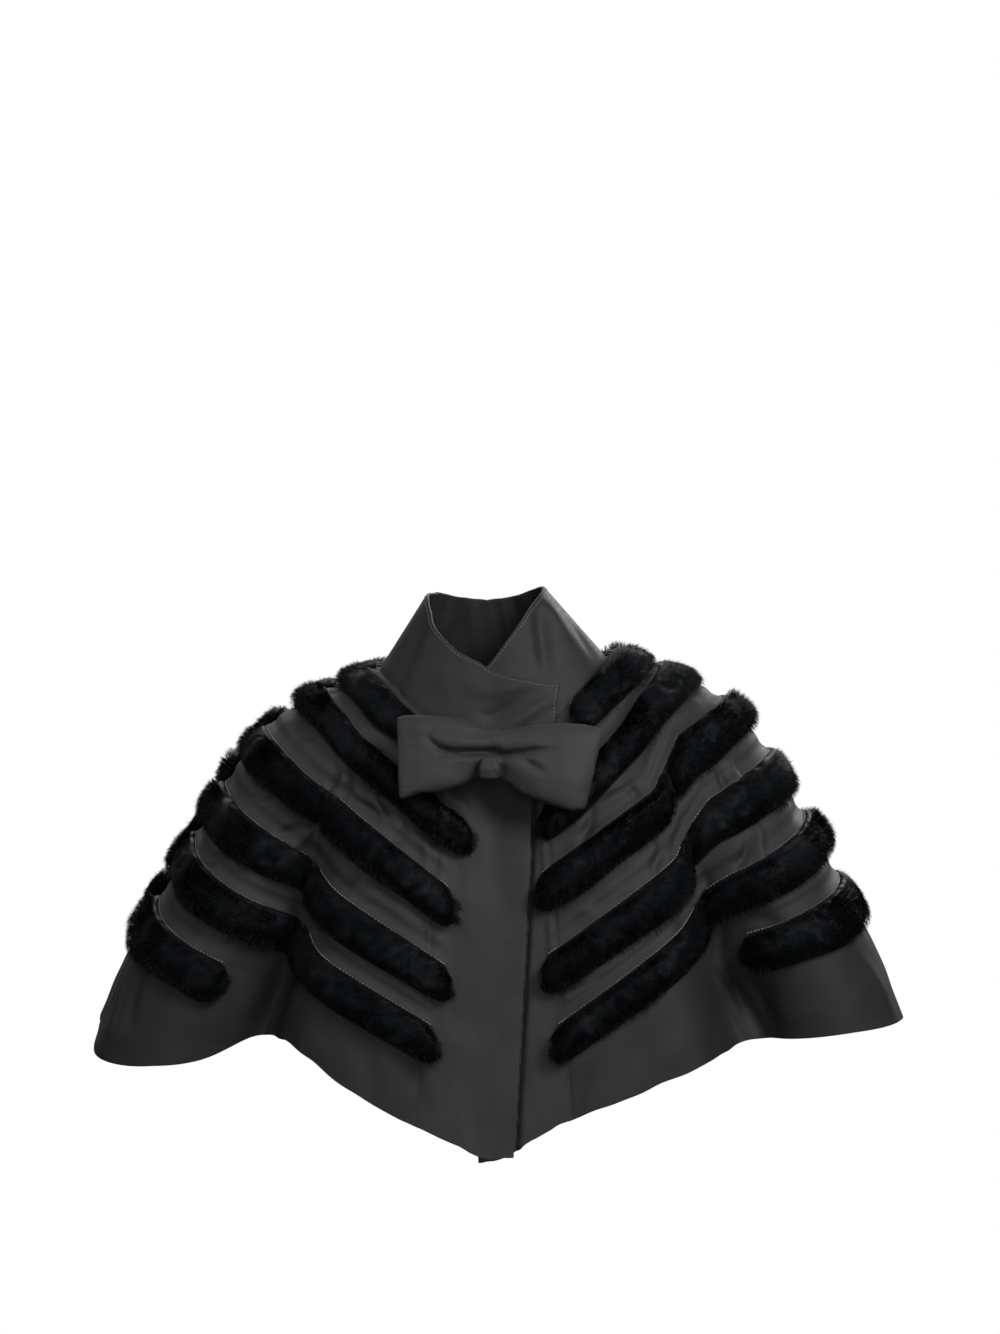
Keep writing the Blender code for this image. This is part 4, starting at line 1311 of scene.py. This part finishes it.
def make_fur():
    for number, strip in enumerate(STRIPS):
        frame_of = StripFrame(strip)
        core, core_faces = fur_core(frame_of, CORE_SEED + number)
        hair, hair_faces, tints, facing = hair_strands(frame_of, HAIR_SEED + number)
        faces = np.concatenate((core_faces, hair_faces + len(core)))
        piece = mesh_piece(strip.name + "_hair", np.concatenate((core, hair)), faces)
        mesh = piece.data
        mesh.attributes.new("hair", "FLOAT", "POINT").data.foreach_set(
            "value", np.concatenate((np.zeros(len(core)), tints)).astype(np.float32)
        )
        plain = np.array([corner.vector for corner in mesh.vertex_normals[:len(core)]])
        plain = unit(plain + np.random.default_rng(number).normal(0.0, CORE_ROUGH, plain.shape))
        mesh.normals_split_custom_set_from_vertices(np.concatenate((plain, facing)))
        finish_piece(piece, FUR, strip.name)


# Collar


def collar_cone(share, turn):
    """Points of the cone that the collar is cut from, before any lift."""
    foot = ring(np.zeros_like(turn), turn)
    forward = np.cos(turn)
    reach = np.where(forward > 0, COLLAR_TOP.front, COLLAR_TOP.back)
    across = COLLAR_TOP.half_width * np.sin(turn) + COLLAR_TOP.shift
    top = np.stack((across, -reach * forward, COLLAR_TOP.height + COLLAR_TOP.tilt * across), axis=-1)
    return foot + (top - foot) * share[..., None]


def collar_place(side, own, up):
    """Points on the collar at an angle on one side and a height as a share, and the normals there."""
    own, up = np.broadcast_arrays(np.asarray(own, float), np.asarray(up, float))
    angles, shares = zip(*COLLAR_EDGE[side])
    share = up * smooth(own, angles, shares)
    turn = np.radians(own) * side
    normals = normals_of(collar_cone, share, turn)
    outward = np.stack((np.sin(turn), -np.cos(turn), np.zeros_like(turn)), axis=-1)
    flip = np.sign(np.sum(normals * outward, axis=-1, keepdims=True))
    return collar_cone(share, turn) + lift_of(np.full_like(own, side), own), normals * flip


def collar_angles(up):
    """Angles of half the collar's columns at a height, from its end at the front to the centre back."""
    end = between(COLLAR_END_FOOT, COLLAR_END_TOP, up)
    return between(end, 180.0, np.linspace(0.0, 1.0, COLLAR_COLUMNS) ** COLLAR_CROWDING)


def collar_crease_line(crease):
    share = np.linspace(0.0, 1.0, CREASE_POINTS)
    angle = between(crease.angle, crease.to_angle, share)
    line, _ = collar_place(crease.side, angle, between(crease.up, crease.to_up, share))
    return line


def make_collar():
    up = np.append(np.linspace(1.0, 0.0, COLLAR_LEVELS), -NECK_TUCK)
    lines = []
    outs = []
    for level in up:
        half = collar_angles(level)
        right, right_out = collar_place(RIGHT, half, level)
        left, left_out = collar_place(LEFT, half[-2::-1], level)
        lines.append(np.concatenate((right, left)))
        outs.append(np.concatenate((right_out, left_out)))
    plain = np.array(lines)
    normals = np.array(outs)
    columns = plain.shape[1]
    relief = np.zeros(plain.shape[:2])
    for crease in COLLAR_CREASES:
        relief += trough(plain, collar_crease_line(crease), crease.width, crease.depth)
    # The collar keeps clear of itself where its ends cross
    crossing = np.linspace(-1.0, 1.0, columns)[None, :]
    inwards = relief * crossing > 0
    flatter = 1.0 - CROSSING_FLAT * step(np.abs(crossing), CROSSING_BEGINS, CROSSING_FULL)
    relief *= np.where(inwards, flatter, 1.0)
    rumple_at = np.arange(columns)[None, :] / COLLAR_RUMPLE_COLUMNS
    relief += COLLAR_RUMPLE * noise(rumple_at, up[:, None] * COLLAR_RUMPLES_UP, COLLAR_RUMPLE_SEED)
    foot_gap = np.linalg.norm(plain - plain[-2:-1], axis=-1)
    relief -= NECK_SEAM_DIP * np.exp(-((foot_gap / SEAM_WIDTH) ** 2))
    middle = columns // 2
    back_gap = np.linalg.norm(plain - plain[:, middle:middle + 1], axis=-1)
    relief -= NECK_SEAM_DIP * np.exp(-((back_gap / BACK_SEAM_WIDTH) ** 2))
    points = plain + normals * relief[..., None]
    sheet = grid_piece("collar_cloth", points, lengths(plain, 1), lengths(plain, 0))
    face_out(sheet, lambda place: (0.0, 0.0, place[2]))
    wall(sheet, COLLAR_CLOTH)
    finish_piece(sheet, COLLAR_SATIN_PAINTED_DARKER, "collar")
    return points, normals


# Bow


def bow_points(across):
    """Soft square sections of the bow, with front and back swelling apart."""
    columns = list(zip(*BOW_SECTIONS))
    soft = np.ones(3) / 3.0
    eased = []
    for column in columns[1:]:
        plain = np.pad(np.interp(across, columns[0], column), 1, mode="edge")
        eased.append(np.convolve(plain, soft, mode="valid")[:, None])
    top, bottom, front, back, slant = eased
    top = top - BOW_SHRINK + BOW_TOP_RISE
    bottom = bottom + BOW_SHRINK
    angle = 2.0 * np.pi * (np.arange(BOW_SIDES) + 0.5)[None, :] / BOW_SIDES
    up = np.sign(np.sin(angle)) * np.abs(np.sin(angle)) ** (2.0 / BOW_SQUARE)
    out = np.sign(np.cos(angle)) * np.abs(np.cos(angle)) ** (2.0 / BOW_SQUARE)
    height = 0.5 * (top + bottom) + BOW_RAISE + 0.5 * (top - bottom) * up
    swell = np.maximum(np.where(out > 0, front, back) - BOW_SHRINK, BOW_LEAST)
    plane = BOW_PLANE + BOW_TILT * (height - BOW_MIDDLE)
    return np.stack((across[:, None] + slant * up, plane - swell * out, height), axis=-1)


def close_ends(piece):
    """Merges the seam of a rolled sheet and fills its open ends."""
    pick(piece)
    bpy.ops.object.mode_set(mode="EDIT")
    bpy.ops.mesh.select_all(action="SELECT")
    bpy.ops.mesh.remove_doubles(threshold=1e-6)
    bpy.ops.mesh.select_all(action="DESELECT")
    bpy.ops.mesh.select_mode(type="EDGE")
    bpy.ops.mesh.select_non_manifold()
    bpy.ops.mesh.fill_holes(sides=0)
    bpy.ops.mesh.select_all(action="SELECT")
    bpy.ops.mesh.normals_make_consistent(inside=False)
    bpy.ops.object.mode_set(mode="OBJECT")


def lay_front_map(piece):
    """Flat map of a padded piece, as seen from its front, for the weave."""
    lay_map(piece, read_vertices(piece)[:, (0, 2)])


def puff_up(piece):
    """Fills the bow out with cloth under pressure, and caps how far any point moves."""
    plain = read_vertices(piece)
    cloth = piece.modifiers.new("filling", "CLOTH")
    cloth.settings.quality = 6
    cloth.settings.mass = 0.15
    cloth.settings.tension_stiffness = 18.0
    cloth.settings.compression_stiffness = 18.0
    cloth.settings.bending_stiffness = 0.6
    cloth.settings.use_pressure = True
    cloth.settings.uniform_pressure_force = BOW_PRESSURE
    cloth.settings.effector_weights.gravity = 0.0
    scene = bpy.context.scene
    cloth.point_cache.frame_end = BOW_FRAMES
    for number in range(1, BOW_FRAMES + 1):
        scene.frame_set(number)
    bpy.context.view_layer.objects.active = piece
    bpy.ops.object.modifier_apply(modifier="filling")
    scene.frame_set(1)
    moved = read_vertices(piece) - plain
    far = np.linalg.norm(moved, axis=1, keepdims=True)
    set_points(piece, plain + moved * np.minimum(1.0, BOW_CAP / np.maximum(far, 1e-9)))


def fold_relief(flat):
    """The bow's long fold: a ridge above its line, and a drop below it."""
    line = np.array([(point.across, point.height) for point in BOW_FOLD])
    gap, where = distance_to(flat, line)
    depth = np.interp(where * (len(line) - 1), np.arange(len(line)), [point.depth for point in BOW_FOLD])
    above = flat[:, 1] > np.interp(flat[:, 0], line[:, 0], line[:, 1])
    reach = np.where(above, FOLD_ABOVE.reach, FOLD_BELOW.reach) * BOW_FOLD_WIDTH
    ridge = np.exp(-(((gap - FOLD_RIDGE_AT * BOW_FOLD_WIDTH) / (FOLD_RIDGE_WIDTH * BOW_FOLD_WIDTH)) ** 2))
    rise = np.where(above, FOLD_ABOVE.ridge, FOLD_BELOW.ridge) * ridge
    return depth * (rise - np.exp(-((gap / reach) ** 2)))


def make_bow():
    across = np.linspace(BOW_SECTIONS[0].across, BOW_SECTIONS[-1].across, BOW_COLUMNS)
    points = bow_points(across)
    points = np.concatenate((points, points[:, :1]), axis=1)
    bow = grid_piece("bow_band_padded", points, lengths(points, 1), lengths(points, 0))
    close_ends(bow)
    apply_modifier(bow, "REMESH", mode="VOXEL", voxel_size=BOW_VOXEL)
    puff_up(bow)
    apply_modifier(bow, "SUBSURF", levels=1, render_levels=1)
    places = read_vertices(bow)
    normals = read_vertices(bow, "normal")
    front = step(-normals[:, 1], BOW_FRONT_BEGINS, BOW_FRONT_FULL)
    flat = places[:, (0, 2)]
    relief = fold_relief(flat)
    for crease in BOW_CREASES:
        share = np.linspace(0.0, 1.0, BOW_CREASE_POINTS)[:, None]
        start = np.array((crease.across, crease.height))
        end = np.array((crease.to_across, crease.to_height))
        relief += trough(flat, between(start, end, share), crease.width, crease.depth)
    cells = flat / BOW_RUMPLE_SIZE + BOW_RUMPLE_SHIFT
    relief += BOW_RUMPLE * noise(cells[:, 0], cells[:, 1], BOW_RUMPLE_SEED)
    set_points(bow, places + normals * (relief * front)[:, None])
    bow.data.shade_smooth()
    lay_front_map(bow)
    finish_piece(bow, BOW_SATIN, "bow_band")


def make_knot():
    """The wrap round the bow's middle: a soft block with a gather running up and down."""
    bpy.ops.object.select_all(action="DESELECT")
    bpy.ops.mesh.primitive_cube_add(size=1.0)
    knot = bpy.context.object
    knot.name = "bow_knot_wrap"
    bpy.ops.object.mode_set(mode="EDIT")
    bpy.ops.mesh.select_all(action="SELECT")
    bpy.ops.mesh.subdivide(number_cuts=KNOT_CUTS)
    bpy.ops.object.mode_set(mode="OBJECT")
    flat = read_vertices(knot) * 2.0
    reach = np.linalg.norm(flat, axis=1, keepdims=True)
    square = np.max(np.abs(flat), axis=1, keepdims=True)
    round_form = flat / np.maximum(reach, 1e-9) * square
    across, deep, up = (flat * KNOT_SQUARE + round_form * KNOT_ROUND).T
    slope = across + KNOT_GATHER.slope * up + KNOT_GATHER.shift
    gathers = KNOT_GATHER.height * np.exp(-((slope / KNOT_GATHER.width) ** 2)) * step(-deep, 0.0, 0.6)
    gathers += KNOT_SINK * step(up, -0.1, 1.0)
    pinch = KNOT_FOOT - KNOT_PINCH * step(up, -0.4, 1.0)
    set_points(knot, np.stack((
        KNOT.across + 0.5 * KNOT.width * across * pinch,
        KNOT.plane + 0.5 * KNOT.deep * (deep + gathers),
        KNOT.height + 0.5 * KNOT.tall * up,
    ), axis=-1))
    knot.data.shade_smooth()
    lay_front_map(knot)
    finish_piece(knot, BOW_SATIN, "bow_knot")


# Stitching


def stitch_faces():
    """Triangles of one stitch: a point, two rings and a point."""
    near = np.arange(STITCH_SIDES)
    after = (near + 1) % STITCH_SIDES
    first = 1
    second = 1 + STITCH_SIDES
    tail = np.full(STITCH_SIDES, 1 + 2 * STITCH_SIDES)
    return np.concatenate((
        np.stack((np.zeros(STITCH_SIDES, int), first + after, first + near), axis=-1),
        np.stack((first + near, first + after, second + after), axis=-1),
        np.stack((first + near, second + after, second + near), axis=-1),
        np.stack((tail, second + near, second + after), axis=-1),
    ))


def along_line(distance, run, values):
    """Values of a line of points at distances along it."""
    return np.stack([np.interp(distance, run, values[:, axis]) for axis in range(3)], axis=-1)


def stitches(name, lines, thread, material):
    """Rows of small stitches as one mesh: each a short thread, thick in the middle, along its line."""
    pitch = STITCH + STITCH_GAP
    first_gap = 0.1
    ring_shares = (0.22, 0.78)
    ring_lift = 0.55
    turn = 2.0 * np.pi * np.arange(STITCH_SIDES) / STITCH_SIDES
    ring_out = (np.cos(turn) * thread)[None, :, None]
    ring_side = (np.sin(turn) * thread)[None, :, None]
    points = []
    for line, normals in lines:
        run = run_of(line)
        begin = (np.arange(int(run[-1] / pitch)) + first_gap) * pitch
        head = along_line(begin, run, line)
        tail = along_line(begin + STITCH, run, line)
        out = unit(along_line(begin + 0.5 * STITCH, run, normals))
        side = unit(np.cross(unit(tail - head), out))
        bodies = [head[:, None]]
        for share in ring_shares:
            centre = between(head, tail, share) + out * thread * ring_lift
            bodies.append(centre[:, None] + out[:, None] * ring_out + side[:, None] * ring_side)
        bodies.append(tail[:, None])
        points.append(np.concatenate(bodies, axis=1))
    points = np.concatenate(points)
    starts = np.arange(len(points))[:, None, None] * points.shape[1]
    faces = (starts + stitch_faces()[None]).reshape(-1, 3)
    finish_piece(mesh_piece(name, points.reshape(-1, 3), faces), material)


def lip_lines():
    """Lines along the folded cloth edge above each strip."""
    spacing = 0.002
    least_along = 0.0012
    at = LIP_AT - LIP_STITCH_ABOVE
    lines = []
    for strip in STRIPS:
        frame_of = StripFrame(strip)
        run = np.arange(LIP_STITCH_END, frame_of.length - LIP_STITCH_END, spacing)
        around = np.interp(run, frame_of.run, frame_of.around)
        along = row_middle(frame_of.row, around) + at
        points, normals = cape(strip.side, around, np.maximum(along, least_along))
        own_side, station = fold_back(strip.side, around)
        height = lip_shape(np.full_like(run, at)) * covers(strip, own_side, station)
        lines.append((points + normals * (height + STITCH_OUT)[:, None], normals))
    return lines


def collar_edge_lines(points, normals):
    """Edge stitching a little inside the collar's upper edge and down its right end."""
    inset = COLLAR_EDGE_INSET
    near_end = 30
    top_gap = np.linalg.norm(points - points[:1], axis=-1)
    end_gap = np.linalg.norm(points - points[:, :1], axis=-1)
    top = np.array([
        [np.interp(inset, top_gap[:, column], points[:, column, axis]) for axis in range(3)]
        for column in range(2, points.shape[1] - 2)
    ])
    end = np.array([
        [np.interp(inset, end_gap[level, :near_end], points[level, :near_end, axis]) for axis in range(3)]
        for level in range(1, points.shape[0] - 1)
    ])
    top_out = normals[1, 2:-2]
    end_out = normals[1:-1, 1]
    return [(top + top_out * STITCH_OUT, top_out), (end + end_out * STITCH_OUT, end_out)]


make_panels()
make_fur()
collar_points, collar_normals = make_collar()
make_bow()
make_knot()
stitches("folded_edge_stitching", lip_lines(), THREAD, PALE_THREAD_AND_GLINT)
collar_edge = collar_edge_lines(collar_points, collar_normals)
stitches("collar_edge_stitching", collar_edge, COLLAR_THREAD, THREAD_DARK)

# Stage: a white floor far below, white surroundings and soft lights
PHOTO_HEIGHT = 1334
PIXEL = 0.00088
CAMERA_DISTANCE = 5.0
CAMERA_ELEVATION = math.radians(5.0)
TARGET = (0.0044, 0.0, -0.0026)
LIGHTS_AIM = (0.0, 0.0, -0.12)
FLOOR_HEIGHT = -1.25
FLOOR_RADIUS = 14.0
SHOWN_WHITE = 1.0
FLOOR_CAST = 0.04
ROOM_CAST = 0.08


def glow(tree, shown, cast):
    """White that is shown to the camera at one strength and lights the cape at another."""
    path = add(tree, "ShaderNodeLightPath")
    strength = add(tree, "ShaderNodeMapRange", {
        "Value": path.outputs["Is Camera Ray"], "To Min": cast, "To Max": shown,
    })
    return strength.outputs["Result"]


def make_stage():
    bpy.ops.object.select_all(action="DESELECT")
    bpy.ops.mesh.primitive_circle_add(
        vertices=96, radius=FLOOR_RADIUS, fill_type="NGON", location=(0.0, 0.0, FLOOR_HEIGHT)
    )
    floor = bpy.context.object
    floor.name = "pale_floor"
    material = bpy.data.materials.new("pale_floor")
    material.use_nodes = True
    tree = material.node_tree
    tree.nodes.remove(tree.nodes["Principled BSDF"])
    light = add(tree, "ShaderNodeEmission", {"Strength": glow(tree, SHOWN_WHITE, FLOOR_CAST)})
    tree.links.new(light.outputs["Emission"], tree.nodes["Material Output"].inputs["Surface"])
    floor.data.materials.append(material)
    world = bpy.data.worlds.new("white_room")
    bpy.context.scene.world = world
    world.use_nodes = True
    background = world.node_tree.nodes["Background"]
    background.inputs["Color"].default_value = (1.0, 1.0, 1.0, 1.0)
    world.node_tree.links.new(glow(world.node_tree, SHOWN_WHITE, ROOM_CAST), background.inputs["Strength"])


Light = namedtuple("Light", "name place size power")
LIGHTS = (
    Light("key", (1.53, -1.82, 1.54), 1.2, 60.0),
    Light("front", (0.0, -2.87, 0.28), 1.2, 20.0),
    Light("left_side", (-2.29, -0.62, 1.54), 1.2, 12.0),
    Light("top_left", (-0.88, -1.04, 2.44), 1.2, 14.0),
    Light("back_right", (1.31, 2.28, 1.11), 1.4, 40.0),
    Light("back_left", (-0.65, 2.43, 1.33), 1.4, 20.0),
)


def aim(thing, target):
    direction = np.array(target) - np.array(thing.location)
    flat = math.hypot(direction[0], direction[1])
    turn = math.atan2(direction[1], direction[0]) - math.pi / 2
    thing.rotation_euler = (math.atan2(flat, -direction[2]), 0.0, turn)


def make_lights():
    for light in LIGHTS:
        data = bpy.data.lights.new(light.name, "AREA")
        data.shape = "DISK"
        data.size = light.size
        data.energy = light.power
        lamp = bpy.data.objects.new(light.name, data)
        lamp.location = light.place
        aim(lamp, LIGHTS_AIM)
        bpy.context.scene.collection.objects.link(lamp)


def make_camera():
    data = bpy.data.cameras.new("camera")
    camera = bpy.data.objects.new("camera", data)
    bpy.context.scene.collection.objects.link(camera)
    camera.location = (
        TARGET[0],
        TARGET[1] - CAMERA_DISTANCE * math.cos(CAMERA_ELEVATION),
        TARGET[2] + CAMERA_DISTANCE * math.sin(CAMERA_ELEVATION),
    )
    aim(camera, TARGET)
    data.sensor_fit = "VERTICAL"
    data.angle = 2.0 * math.atan(0.5 * PHOTO_HEIGHT * PIXEL / CAMERA_DISTANCE)
    bpy.context.scene.camera = camera


make_stage()
make_lights()
make_camera()
bpy.context.scene.view_settings.view_transform = "Standard"
